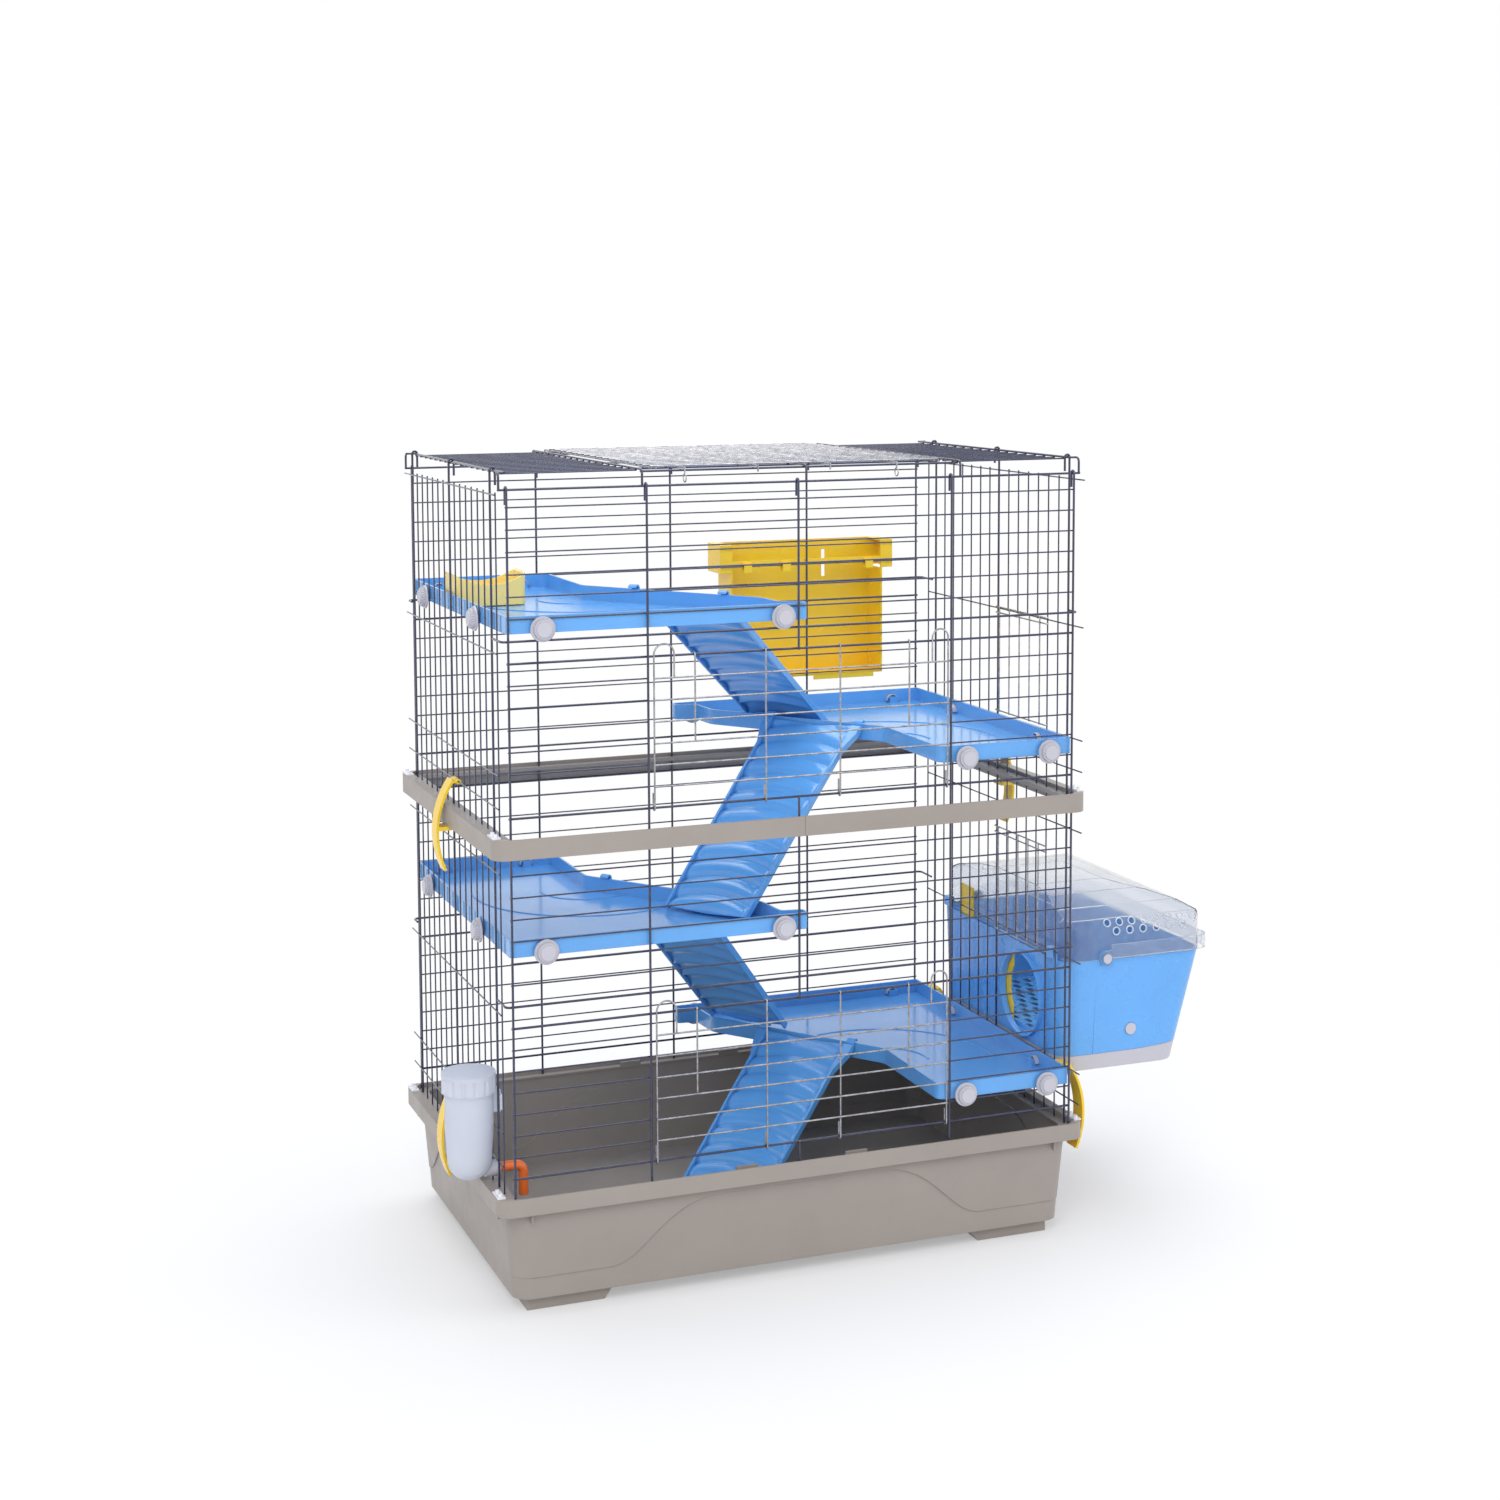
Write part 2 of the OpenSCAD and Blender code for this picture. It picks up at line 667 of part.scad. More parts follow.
gate_bars = 5;
gate_bar_pitch = 29.25;
gate_turn_r = wall_x - gate_x;

module side_door(s, lift) {
  z0 = hinge_z(s) + gate_bottom + lift;
  for (z = [z0 + 1, z0 + gate_h - 9, z0 + gate_h - 1]) {
    cross_wire(gate_x, gate_near, gate_far, z, thin_r);
    bend_xy(wall_x, gate_far, z, gate_turn_r, thin_r, 90, 90);
    bend_xy(wall_x, gate_near, z, gate_turn_r, thin_r, 180, 90);
  }
  for (i = [0:gate_bars - 1])
    upright(gate_bar_x, gate_mid + (i - (gate_bars - 1) / 2) * gate_bar_pitch, z0, z0 + gate_h, thin_r);
}

module side_door_lower() { color(silver_colour) place() side_door(0, gate_lift); }
module side_door_upper() { color(silver_colour) place() side_door(1, 0); }

// Figures with rounded corners, for the shelves and ramps; the corners run anticlockwise

function unit(v) = v / norm(v);
function corner_arc(a, p, b, r) =
  let (u = unit(a - p), w = unit(b - p), half = acos(u * w) / 2, reach = r / tan(half),
    middle = p + unit(u + w) * r / sin(half), q0 = p + u * reach - middle, q1 = p + w * reach - middle,
    first = atan2(q0.y, q0.x), turn = (atan2(q1.y, q1.x) - first + 540) % 360 - 180)
  [for (i = [0:5]) middle + r * [cos(first + turn * i / 5), sin(first + turn * i / 5)]];
function rounded(pts, radii) =
  [for (i = [0:len(pts) - 1])
    each corner_arc(pts[(i + len(pts) - 1) % len(pts)], pts[i], pts[(i + 1) % len(pts)], radii[i])];
function inset(pts, d) =
  [for (i = [0:len(pts) - 1])
    let (u = unit(pts[i] - pts[(i + len(pts) - 1) % len(pts)]), w = unit(pts[(i + 1) % len(pts)] - pts[i]),
      nu = [-u.y, u.x], nw = [-w.y, w.x])
    pts[i] + d * (nu + nw) / (1 + nu * nw)];

// Shelves, drawn for the left wall and turned half round for the right one

shelf_x = wall_x - thick_r - fit;
shelf_y = level_y - thick_r - fit;
shelf_tip_x = 8;
shelf_bend_y = 66;
shelf_points = [[-shelf_x, -shelf_y], [shelf_tip_x, -shelf_y], [shelf_tip_x, -shelf_y + 18],
  [-20, -shelf_y + 22], [-24, -160], [-shelf_wide, shelf_bend_y], [-shelf_wide, shelf_y],
  [-shelf_x, shelf_y]];
shelf_radii = [3, 5, 5, 8, 30, 25, 12, 3];
shelf_slope = atan2(226, 166);
knob_rise = 5;
stud_r = stud_d / 2;
front_studs = [44 - shelf_x, -26];
back_studs = [34 - shelf_x, -shelf_wide - 37];
side_studs = [side_thick[2] - 0.5 * side_pitch - 11.5, side_first + 4 * side_pitch + 2.25];
boss_w = 12;
boss_h = 11;

module shelf_boss_at(x, y, turn) {
  translate([x, y, 0]) rotate([0, 0, turn]) translate([-boss_w / 2, 1, 0]) cube([boss_w, boss_w, boss_h]);
}

module shelf_bore_at(x, y, turn) {
  translate([x, y, knob_rise]) rotate([0, 0, turn]) translate([0, -1, 0]) rotate([-90, 0, 0])
    cylinder(r = stud_r + 0.3, h = boss_w + 0.5, $fn = 24);
}

module shelf(top) {
  color(blue_colour) place() translate([0, 0, top - shelf_h]) difference() {
    union() {
      difference() {
        linear_extrude(shelf_h) polygon(rounded(shelf_points, shelf_radii));
        translate([0, 0, shelf_wall]) linear_extrude(shelf_h)
          polygon(rounded(inset(shelf_points, shelf_wall), [1, 3, 3, 10, 27, 22, 9, 1]));
      }
      for (x = front_studs) shelf_boss_at(x, -shelf_y, 0);
      for (x = back_studs) shelf_boss_at(x, shelf_y, 180);
      for (y = side_studs) shelf_boss_at(-shelf_x, y, -90);
      for (r = [60, 150])
        translate([-shelf_wide, shelf_bend_y, shelf_wall - 0.5]) rotate([0, 0, 170])
          rotate_extrude(angle = 130, $fn = 64) translate([r, 0]) square([3, 1.5]);
    }
    for (x = front_studs) shelf_bore_at(x, -shelf_y, 0);
    for (x = back_studs) shelf_bore_at(x, shelf_y, 180);
    for (y = side_studs) shelf_bore_at(-shelf_x, y, -90);
  }
}

module turned_shelf(top) {
  color(blue_colour) place() rotate(180) translate([-shift_x, -shift_y, 0]) shelf(top);
}

module shelf_lower_left() { shelf(shelf_top_2); }
module shelf_upper_left() { shelf(shelf_top_4); }
module shelf_lower_right() { turned_shelf(shelf_top_1); }
module shelf_upper_right() { turned_shelf(shelf_top_3); }

// Ramps: hooked over the slanting rim of a shelf, resting on the floor below

ramp_n = [sin(shelf_slope), cos(shelf_slope)];
ramp_t_dir = [ramp_n.y, -ramp_n.x];
rim_n = [-shelf_wide, shelf_bend_y] * ramp_n;
ramp_axis_n = rim_n - shelf_wall / 2;
ramp_under = 4;
ramp_start = 8;
ramp_plate = 2.6;
ramp_rail = 3;
ramp_hook_w = 12;
ramp_top_w = 152;
ramp_end_w = 124;
treads = 11;
hook_in = 3.2;
hook_out = 5.8;

module ramp_outline() {
  polygon([[ramp_start, -ramp_top_w / 2], [ramp_start + 14, -ramp_top_w / 2], [ramp_start + 46, -ramp_w / 2],
    [ramp_l, -ramp_end_w / 2], [ramp_l, ramp_end_w / 2], [ramp_start + 46, ramp_w / 2],
    [ramp_start + 14, ramp_top_w / 2], [ramp_start, ramp_top_w / 2]]);
}

module ramp_side(sy) {
  for (leg = [[ramp_start, ramp_top_w, ramp_start + 14, ramp_top_w],
      [ramp_start + 14, ramp_top_w, ramp_start + 46, ramp_w], [ramp_start + 46, ramp_w, ramp_l, ramp_end_w]])
    linear_extrude(ramp_t) polygon([[leg[0], sy * leg[1] / 2], [leg[2], sy * leg[3] / 2],
      [leg[2], sy * (leg[3] / 2 - ramp_rail)], [leg[0], sy * (leg[1] / 2 - ramp_rail)]]);
}

module ramp_body() {
  tread_l = (ramp_l - ramp_start) / treads;
  inner_w = ramp_end_w - 2 * ramp_rail + 1;
  translate([0, 0, -ramp_under]) {
    linear_extrude(ramp_plate) ramp_outline();
    for (sy = [-1, 1]) ramp_side(sy);
    translate([0, inner_w / 2, 0]) rotate([90, 0, 0]) linear_extrude(inner_w)
      polygon([[ramp_start, 1], for (i = [0:treads - 1]) each [
        [ramp_start + i * tread_l, ramp_plate + 0.4], [ramp_start + (i + 0.9) * tread_l, ramp_plate + 3.2]],
        [ramp_l, ramp_plate], [ramp_l, 1]]);
  }
}

module ramp_hook(y, tilt) {
  translate([0, y + ramp_hook_w / 2, 0]) rotate([90, 0, 0]) linear_extrude(ramp_hook_w) {
    arc_band(hook_in, hook_out, -tilt, 165, 40);
    rotate(-tilt) translate([hook_in + 0.6, -1.6]) square([ramp_start - 1.6, 3]);
  }
}

// The foot of a ramp lies just over a floor, and that of the lower left ramp on a hook of the next
ramp_rest = 4.4;
hook_play = 0.4;
cross_n = -2 * ramp_axis_n;
cross_z = shelf_top_2 - shelf_top_1;
cross_gap = ramp_under + hook_out + hook_play;
cross_tilt = atan2(cross_z, cross_n) - asin(cross_gap / norm([cross_n, cross_z]));

function shelf_floor(top) = top - shelf_h + shelf_wall;
function drop_tilt(top, below) = asin((top - below - ramp_rest) / ramp_l);

module ramp(t, top, tilt) {
  origin = ramp_n * ramp_axis_n + ramp_t_dir * t;
  translate([origin.x, origin.y, top]) rotate([0, 0, 90 - shelf_slope]) {
    rotate([0, tilt, 0]) ramp_body();
    for (y = [-1, 1]) ramp_hook(y * (ramp_top_w - ramp_hook_w) / 2, tilt);
  }
}

module ramp_upper_left() {
  color(blue_colour) place() ramp(-12, shelf_top_4, drop_tilt(shelf_top_4, shelf_floor(shelf_top_3)));
}
module ramp_lower_left() { color(blue_colour) place() ramp(-62, shelf_top_2, cross_tilt); }
module ramp_upper_right() {
  color(blue_colour) place() rotate(180)
    ramp(-56, shelf_top_3, drop_tilt(shelf_top_3, shelf_floor(shelf_top_2)));
}
module ramp_lower_right() {
  color(blue_colour) place() rotate(180) ramp(-44, shelf_top_1, drop_tilt(shelf_top_1, tub_floor_z));
}

// Knobs: a flange and grip outside the wires and a stud in the bore of a shelf

knob_flange_t = 2.5;
knob_grip_t = 5;
stud_l = 11;

// Drawn with the screw axis along Z, the flange starting at z = 0 and the stud below it
module knob(reach) {
  teeth = 24;
  difference() {
    union() {
      cylinder(d = knob_flange_d, h = knob_flange_t, $fn = 48);
      translate([0, 0, knob_flange_t - 0.5]) cylinder(d = knob_grip_d, h = knob_grip_t + 0.5, $fn = 48);
      translate([0, 0, knob_depth - 2.1]) cylinder(d = knob_grip_d - 6, h = 2.1, $fn = 48);
    }
    for (i = [0:teeth - 1])
      rotate([0, 0, i * 360 / teeth]) translate([knob_grip_d / 2 + 0.4, 0, knob_flange_t])
        cylinder(r = 1.1, h = knob_grip_t + 1, $fn = 16);
  }
  translate([0, 0, -reach - stud_l]) cylinder(r = stud_r, h = reach + stud_l + 0.5, $fn = 24);
}

front_knob_y = level_y + thick_r + fit;
front_knob_reach = front_knob_y - shelf_y;
side_knob_x = wall_x + thick_r + fit;
side_knob_reach = side_knob_x - shelf_x;

module front_knob(x, top) {
  translate([x, -front_knob_y, top - shelf_h + knob_rise]) rotate([90, 0, 0]) knob(front_knob_reach);
}

module back_knob(x, top) {
  translate([x, front_knob_y, top - shelf_h + knob_rise]) rotate([-90, 0, 0]) knob(front_knob_reach);
}

module left_knob(y, top) {
  translate([-side_knob_x, y, top - shelf_h + knob_rise]) rotate([0, -90, 0]) knob(side_knob_reach);
}

module knob_lower_left_a() { color(grey_colour) place() front_knob(front_studs[0], shelf_top_2); }
module knob_lower_left_b() { color(grey_colour) place() front_knob(front_studs[1], shelf_top_2); }
module knob_lower_left_c() { color(grey_colour) place() left_knob(side_studs[0], shelf_top_2); }
module knob_lower_left_d() { color(grey_colour) place() left_knob(side_studs[1], shelf_top_2); }
module knob_upper_left_a() { color(grey_colour) place() front_knob(front_studs[0], shelf_top_4); }
module knob_upper_left_b() { color(grey_colour) place() front_knob(front_studs[1], shelf_top_4); }
module knob_upper_left_c() { color(grey_colour) place() left_knob(side_studs[0], shelf_top_4); }
module knob_upper_left_d() { color(grey_colour) place() left_knob(side_studs[1], shelf_top_4); }
module knob_lower_right_a() { color(grey_colour) place() rotate(180) back_knob(back_studs[0], shelf_top_1); }
module knob_lower_right_b() { color(grey_colour) place() rotate(180) back_knob(back_studs[1], shelf_top_1); }
module knob_lower_right_c() {
  color(grey_colour) place() rotate(180) front_knob(front_studs[1], shelf_top_1);
}
module knob_upper_right_a() { color(grey_colour) place() rotate(180) back_knob(back_studs[0], shelf_top_3); }
module knob_upper_right_b() { color(grey_colour) place() rotate(180) back_knob(back_studs[1], shelf_top_3); }
module knob_upper_right_c() {
  color(grey_colour) place() rotate(180) front_knob(front_studs[1], shelf_top_3);
}

// Latches: they turn on a cross wire and snap under a lip, drawn for the right wall

latch_ring_r = 3.4;
latch_arc_r = 120;
latch_drop = 115;

module latch(y, pivot_z, lip_z, slot_y) {
  arc_x = tub_x + 13 - latch_arc_r;
  arc_z = pivot_z - 66;
  inner_r = latch_arc_r - latch_t;
  a1 = asin((pivot_z + 3 - arc_z) / latch_arc_r);
  a0 = asin((pivot_z - latch_drop - arc_z) / latch_arc_r);
  top_x = arc_x + sqrt(pow(inner_r, 2) - pow(pivot_z - arc_z, 2)) + 2;
  nose_in = tub_x - 7;
  nose_x = arc_x + sqrt(pow(inner_r, 2) - pow(lip_z - 3 - arc_z, 2)) + 1.5;
  lip_reach = norm([tub_x - cross_x, pivot_z - lip_z]) + fit;
  nose_top = pivot_z - sqrt(pow(lip_reach, 2) - pow(nose_in - cross_x, 2));
  color(yellow_colour) place() difference() {
    translate([0, y + latch_w / 2, 0]) rotate([90, 0, 0]) linear_extrude(latch_w) difference() {
      union() {
        translate([cross_x, pivot_z]) circle(r = latch_ring_r, $fn = 32);
        translate([cross_x + 1.6, pivot_z - 1.5]) square([top_x - cross_x - 1.6, 3]);
        translate([arc_x, arc_z]) arc_band(inner_r, latch_arc_r, a0, a1, 160);
        translate([nose_in, nose_top - 5]) square([nose_x - nose_in, 5]);
      }
      translate([cross_x, pivot_z]) circle(r = thin_r + 0.3, $fn = 24);
    }
    translate([cross_x - 6, slot_y - thin_r - 0.4, pivot_z - 8]) cube([8.5, 2 * thin_r + 0.8, 16]);
  }
}

tub_pivot_z = hinge_z(0) + side_cross_rises[0][1];
collar_pivot_z = hinge_z(1) + side_cross_rises[1][0];
tub_lip_z = tub_h - lip_h;
near_upright = side_first + 8 * side_pitch;

module turned() {
  translate([shift_x, shift_y, 0]) rotate(180) translate([-shift_x, -shift_y, 0]) children();
}

module latch_tub_left() { turned() latch(0, tub_pivot_z, tub_lip_z, near_upright); }
module latch_tub_right_front() { latch(side_first + 14.4, tub_pivot_z, tub_lip_z, side_first + side_pitch); }
module latch_tub_right_rear() { latch(side_end - 11, tub_pivot_z, tub_lip_z, side_end); }
module latch_collar_left() { turned() latch(0, collar_pivot_z, collar_bottom, near_upright); }
module latch_collar_right() { latch(0, collar_pivot_z, collar_bottom, near_upright); }

// Bottle with its lid, outlet and spout

bottle_wall = 1.6;
outlet_d = 20;
outlet_z = bottle_z + 10.5;
spout_end_z = tub_h - 24;
spout_x = 33 - shelf_x;
spout_bend = 10;
outlet_in = 11.5;
dome_h = 25;
hanger_z = 241;
hanger_h = 27;

// Half section of the bottle, with a round bottom, taken in by the wall for its hollow
module bottle_section(d, top) {
  r = bottle_d / 2 - d;
  polygon([[0, d], for (a = [10:10:90]) [0.92 * r * sin(a), d + (dome_h - d) * (1 - cos(a))],
    [r, bottle_h / 2], [r, top], [0, top]]);
}

module bottle() {
  r = bottle_d / 2;
  color(frost_colour) place() difference() {
    union() {
      translate([bottle_x, bottle_y, bottle_z]) rotate_extrude($fn = 64) difference() {
        bottle_section(0, bottle_h);
        bottle_section(bottle_wall, bottle_h + 1);
      }
      translate([bottle_x + r - 2.2, bottle_y - 9, hanger_z])
        cube([-shelf_x + 3 - bottle_x - r + 2.2, 18, hanger_h]);
      translate([-shelf_x + 0.1, bottle_y - 15, hanger_z + 4]) cube([2.9, 30, hanger_h - 8]);
    }
    translate([bottle_x + r - outlet_in - 0.5, bottle_y, outlet_z]) rotate([0, 90, 0])
      cylinder(d = outlet_d + 0.1, h = 20, $fn = 40);
  }
}

module bottle_lid() {
  r = bottle_lid_d / 2;
  bumps = 14;
  lid_bottom_z = bottle_z + bottle_h - bottle_lid_h + 4;
  color(frost_colour) place() translate([bottle_x, bottle_y, lid_bottom_z]) difference() {
    cylinder(r = r, h = bottle_lid_h, $fn = 64);
    translate([0, 0, -1]) cylinder(r = bottle_d / 2 + 0.1, h = bottle_lid_h - 3 + 0.1, $fn = 64);
    for (i = [0:bumps - 1]) rotate([0, 0, (i + 0.5) * 360 / bumps]) translate([r + 2.2, 0, -1])
      cylinder(r = 4, h = bottle_lid_h - 4, $fn = 24);
  }
}

module bottle_outlet() {
  x0 = bottle_x + bottle_d / 2 - outlet_in;
  color(grey_colour) place() translate([x0, bottle_y, outlet_z]) rotate([0, 90, 0]) difference() {
    cylinder(d = outlet_d, h = -shelf_x + 2 - x0, $fn = 40);
    translate([0, 0, -1]) cylinder(d = spout_d + 0.1, h = 60, $fn = 32);
  }
}

module bottle_spout() {
  r = spout_d / 2;
  bore = r - 2;
  x0 = bottle_x + bottle_d / 2 - outlet_in + 2.5;
  bend_x = spout_x - spout_bend;
  color(orange_colour) place() difference() {
    union() {
      translate([x0, bottle_y, outlet_z]) rotate([0, 90, 0]) cylinder(r = r, h = bend_x - x0, $fn = 32);
      bend_xz(bend_x, bottle_y, outlet_z - spout_bend, spout_bend, r, 0, 90);
      translate([spout_x, bottle_y, spout_end_z])
        cylinder(r = r, h = outlet_z - spout_bend - spout_end_z, $fn = 32);
    }
    translate([spout_x, bottle_y, spout_end_z - 1]) cylinder(r = bore, h = 14, $fn = 32);
  }
}

// Food bowl on the upper left shelf

bowl_x = 54 - shelf_x;
bowl_y = 60;
bowl_z = shelf_top_4 - shelf_h + shelf_wall + 1.1;
bowl_dip = 17;
bowl_wall = 3;

module food_bowl() {
  dip_r = (pow(bowl_w / 2 + 3, 2) + bowl_dip * bowl_dip) / (2 * bowl_dip);
  color(pale_yellow_colour) place() translate([bowl_x, bowl_y, bowl_z]) difference() {
    slab(bowl_w, bowl_d, 12, 0, bowl_h);
    slab(bowl_w - 2 * bowl_wall, bowl_d - 2 * bowl_wall, 9, bowl_wall, bowl_h);
    translate([0, bowl_d, bowl_h - bowl_dip + dip_r]) rotate([90, 0, 0])
      cylinder(r = dip_r, h = 2 * bowl_d, $fn = 96);
  }
}

// Hay rack outside the back wall, open towards the cage

rack_x = 205.5;
rack_y = wall_y + thick_r + fit;
rack_top = 890;
rack_wall = 2.5;
rack_lip_h = 41;
rack_lip_w = 270;
rack_slot_x = 251;
rack_hook_z = level_z(1, 9);
rack_hooks = [110, 170, 300];

module hay_rack() {
  z0 = rack_top - rack_h;
  color(yellow_colour) place() {
    difference() {
      union() {
        translate([rack_x - rack_w / 2, rack_y, z0]) cube([rack_w, rack_d, rack_h]);
        translate([rack_x - rack_lip_w / 2, rack_y, rack_top - rack_lip_h])
          cube([rack_lip_w, rack_d, rack_lip_h]);
        translate([rack_x + 10, rack_y, z0 - 6]) cube([95, rack_wall, 8]);
      }
      translate([rack_x - rack_w / 2 + rack_wall, rack_y - 1, z0 + rack_wall])
        cube([rack_w - 2 * rack_wall, rack_d - rack_wall + 1, rack_h]);
      translate([rack_x - rack_lip_w / 2 + rack_wall, rack_y + rack_wall, rack_top - rack_lip_h - 1])
        cube([rack_lip_w - 2 * rack_wall, rack_d - 2 * rack_wall, rack_lip_h - rack_wall + 1]);
      translate([rack_slot_x - 3, rack_y + rack_d - 10, rack_top - 56]) cube([6, 20, 40]);
    }
    translate([rack_x - rack_w / 2 + 1, rack_y, rack_hook_z - 2]) cube([rack_w - 2, rack_wall, 9]);
    for (x = rack_hooks) {
      translate([x - 6, level_y - 2 * thin_r - fit - 2, rack_hook_z + thin_r + fit])
        cube([12, rack_y + rack_wall - level_y + 2 * thin_r + fit + 1, 3]);
      translate([x - 6, level_y - 2 * thin_r - fit - 2, rack_hook_z - 9]) cube([12, 2.2, 11]);
      translate([x - 6, rack_y, rack_hook_z - 9]) cube([12, rack_wall, 12]);
    }
  }
}

// Carrier outside the right wall

carrier_mid_y = (carrier_y0 + carrier_y1) / 2;
carrier_end_taper = 12;
entry_y = gate_mid;
entry_z = carrier_z0 + 85;

// A level section of the carrier: insets at the cage side, the far side and both ends
module carrier_section(z, near, far, ends, r, h) {
  w = carrier_w - near - far;
  l = carrier_l - 2 * ends;
  translate([carrier_x0 + near + w / 2, carrier_mid_y, z]) linear_extrude(h) round_rect(w, l, r);
}

module carrier_form(z0, z1, inset_by) {
  u0 = 1 - (z0 - carrier_z0) / carrier_rim;
  u1 = 1 - (z1 - carrier_z0) / carrier_rim;
  hull() {
    carrier_section(z0, inset_by, inset_by + u0 * carrier_taper, inset_by + u0 * carrier_end_taper,
      30 - inset_by, 0.01);
    carrier_section(z1 - 0.01, inset_by, inset_by + u1 * carrier_taper, inset_by + u1 * carrier_end_taper,
      30 - inset_by, 0.01);
  }
}

pivot_x = carrier_x0 + 64;
pivot_z = carrier_rim_z + 3;
ear_d = 19;
ear_t = 3;
ear_gap = 0.4;
pin_r = 3;
floor_t = 2.4;
floor_z = carrier_z0 + carrier_base_h;
button_x = carrier_x0 + 109;
button_z = carrier_z0 + 51;
seam_x = carrier_x0 + 52;
seam_w = 0.8;
seam_deep = 0.6;
seam_z = floor_z - 4;
seam_rise = 5;
seam_gap_z = 0.15;
hook_ys = [gate_near - side_pitch / 2, gate_far + 5.5 * side_pitch];

module ear(sy) {
  y = sy > 0 ? carrier_y1 + ear_gap + ear_t : carrier_y0 - ear_gap;
  yb = sy > 0 ? carrier_y1 - 2 : carrier_y0 - ear_gap - 1;
  translate([pivot_x, y, pivot_z]) rotate([90, 0, 0]) cylinder(d = ear_d, h = ear_t, $fn = 40);
  translate([pivot_x - 7, yb, carrier_rim_z - 7]) cube([14, 3 + ear_gap, 6.5]);
}

module carrier_hook(y) {
  hook_w = 16;
  leg_x = cross_x - thin_r - fit - 2;
  top = hook_wire_z + thin_r + fit;
  translate([leg_x, y - hook_w / 2, top]) cube([carrier_x0 + 2 - leg_x, hook_w, 2.4]);
  translate([leg_x, y - hook_w / 2, top - 11]) cube([2, hook_w, 12]);
  translate([carrier_x0, y - hook_w / 2, carrier_rim_z - 4]) cube([2, hook_w, top - carrier_rim_z + 5]);
}

// All that lies below the seam between base and body, which rises towards the far side
module below_seam(play) {
  rise_x = carrier_x0 + 0.5 * carrier_w;
  rise_l = 0.45 * carrier_w;
  steps = 10;
  translate([0, carrier_y1 + 1, 0]) rotate([90, 0, 0]) linear_extrude(carrier_l + 2)
    polygon([[carrier_x0 - 1, carrier_z0 - 1], [carrier_x0 - 1, seam_z + play],
      for (i = [0:steps]) let (u = i / steps)
        [rise_x + u * rise_l, seam_z + play + seam_rise * (1 - cos(180 * u)) / 2],
      [carrier_x1 + 1, seam_z + play + seam_rise], [carrier_x1 + 1, carrier_z0 - 1]]);
}

// A fine upright seam in each end of the body
module end_seam(sy) {
  foot_in = carrier_end_taper * (1 - (seam_z - carrier_z0) / carrier_rim);
  y_top = carrier_mid_y + sy * carrier_l / 2;
  y_low = y_top - sy * foot_in;
  translate([seam_x, 0, 0]) rotate([90, 0, 90]) linear_extrude(seam_w)
    polygon([[y_low - sy * seam_deep, seam_z - 1], [y_top - sy * seam_deep, carrier_rim_z - 8],
      [y_top + sy * 2, carrier_rim_z - 8], [y_low + sy * 2, seam_z - 1]]);
}

module carrier_body() {
  color(blue_colour) place() difference() {
    union() {
      difference() {
        carrier_form(seam_z, carrier_rim_z, 0);
        below_seam(seam_gap_z);
        for (sy = [-1, 1]) end_seam(sy);
      }
      for (sy = [-1, 1]) ear(sy);
      for (y = hook_ys) carrier_hook(y);
      translate([carrier_x0 - 6, entry_y, entry_z]) rotate([0, 90, 0])
        cylinder(d = entry_d + 6, h = 8, $fn = 64);
    }
    carrier_form(seam_z - 1, carrier_rim_z + 1, carrier_wall);
    translate([carrier_x0 - 20, entry_y, entry_z]) rotate([0, 90, 0]) cylinder(d = entry_d, h = 60, $fn = 64);
    for (sy = [-1, 1]) translate([pivot_x, carrier_mid_y + sy * (carrier_l / 2 + 3) + 5, pivot_z])
      rotate([90, 0, 0]) cylinder(r = pin_r + 0.05, h = 10, $fn = 24);
    translate([button_x, carrier_y0 + 20, button_z]) rotate([90, 0, 0]) cylinder(d = 16.6, h = 30, $fn = 32);
  }
}

base_top = floor_z + 2;

module carrier_base() {
  color(grey_colour) place() difference() {
    union() {
      intersection() {
        carrier_form(carrier_z0, seam_z + seam_rise, 0);
        below_seam(-seam_gap_z);
      }
      carrier_form(seam_z - 3, base_top, carrier_wall + 0.1);
    }
    carrier_form(carrier_z0 + carrier_wall, floor_z + 3, 2 * carrier_wall + 0.1);
  }
}

module carrier_floor() {
  cols = 9;
  rows = 14;
  hole = [8, 17];
  pitch = [19, 23];
  first = [20, 36];
  color(blue_colour) place() difference() {
    carrier_form(base_top + 0.1, base_top + 0.1 + floor_t, carrier_wall + 0.2);
    for (i = [0:cols - 1], j = [0:rows - 1])
      translate([carrier_x0 + first.x + (i + (j % 2) / 2) * pitch.x,
          carrier_y0 + first.y + j * pitch.y, floor_z])
        cube([hole.x, hole.y, 8]);
  }
}

// Clear lid: a plan, a side outline and an end outline meet in one dome

door_x = carrier_x0 + carrier_wall + 1;
door_t = 2.5;
rail_t = 1.8;
lid_h = carrier_lid_h;
lid_seat = 0.3;
lid_wall = 2;
lid_near = door_x + door_t + fit + rail_t + 0.1 - carrier_x0;
vent_rows = [[48, 8, 71, 202], [37, 6, 83, 185]];
lid_side = [[lid_near, -20], [carrier_w, -20], [carrier_w, 21], [carrier_w - 3, 39], [carrier_w - 10, 54],
  [carrier_w - 26, 64], [carrier_w - 52, 72], [carrier_w - 88, lid_h], [lid_near + 20, lid_h],
  [lid_near + 5, lid_h - 10], [lid_near, lid_h - 30]];
lid_end = [[-carrier_l / 2, -20], [carrier_l / 2, -20], [carrier_l / 2, 21], [carrier_l / 2 - 3, 39],
  [carrier_l / 2 - 10, 54], [carrier_l / 2 - 36, 65], [carrier_l / 2 - 80, 74], [carrier_l / 2 - 130, lid_h],
  [130 - carrier_l / 2, lid_h], [80 - carrier_l / 2, 74], [36 - carrier_l / 2, 65],
  [10 - carrier_l / 2, 54], [3 - carrier_l / 2, 39], [-carrier_l / 2, 21]];

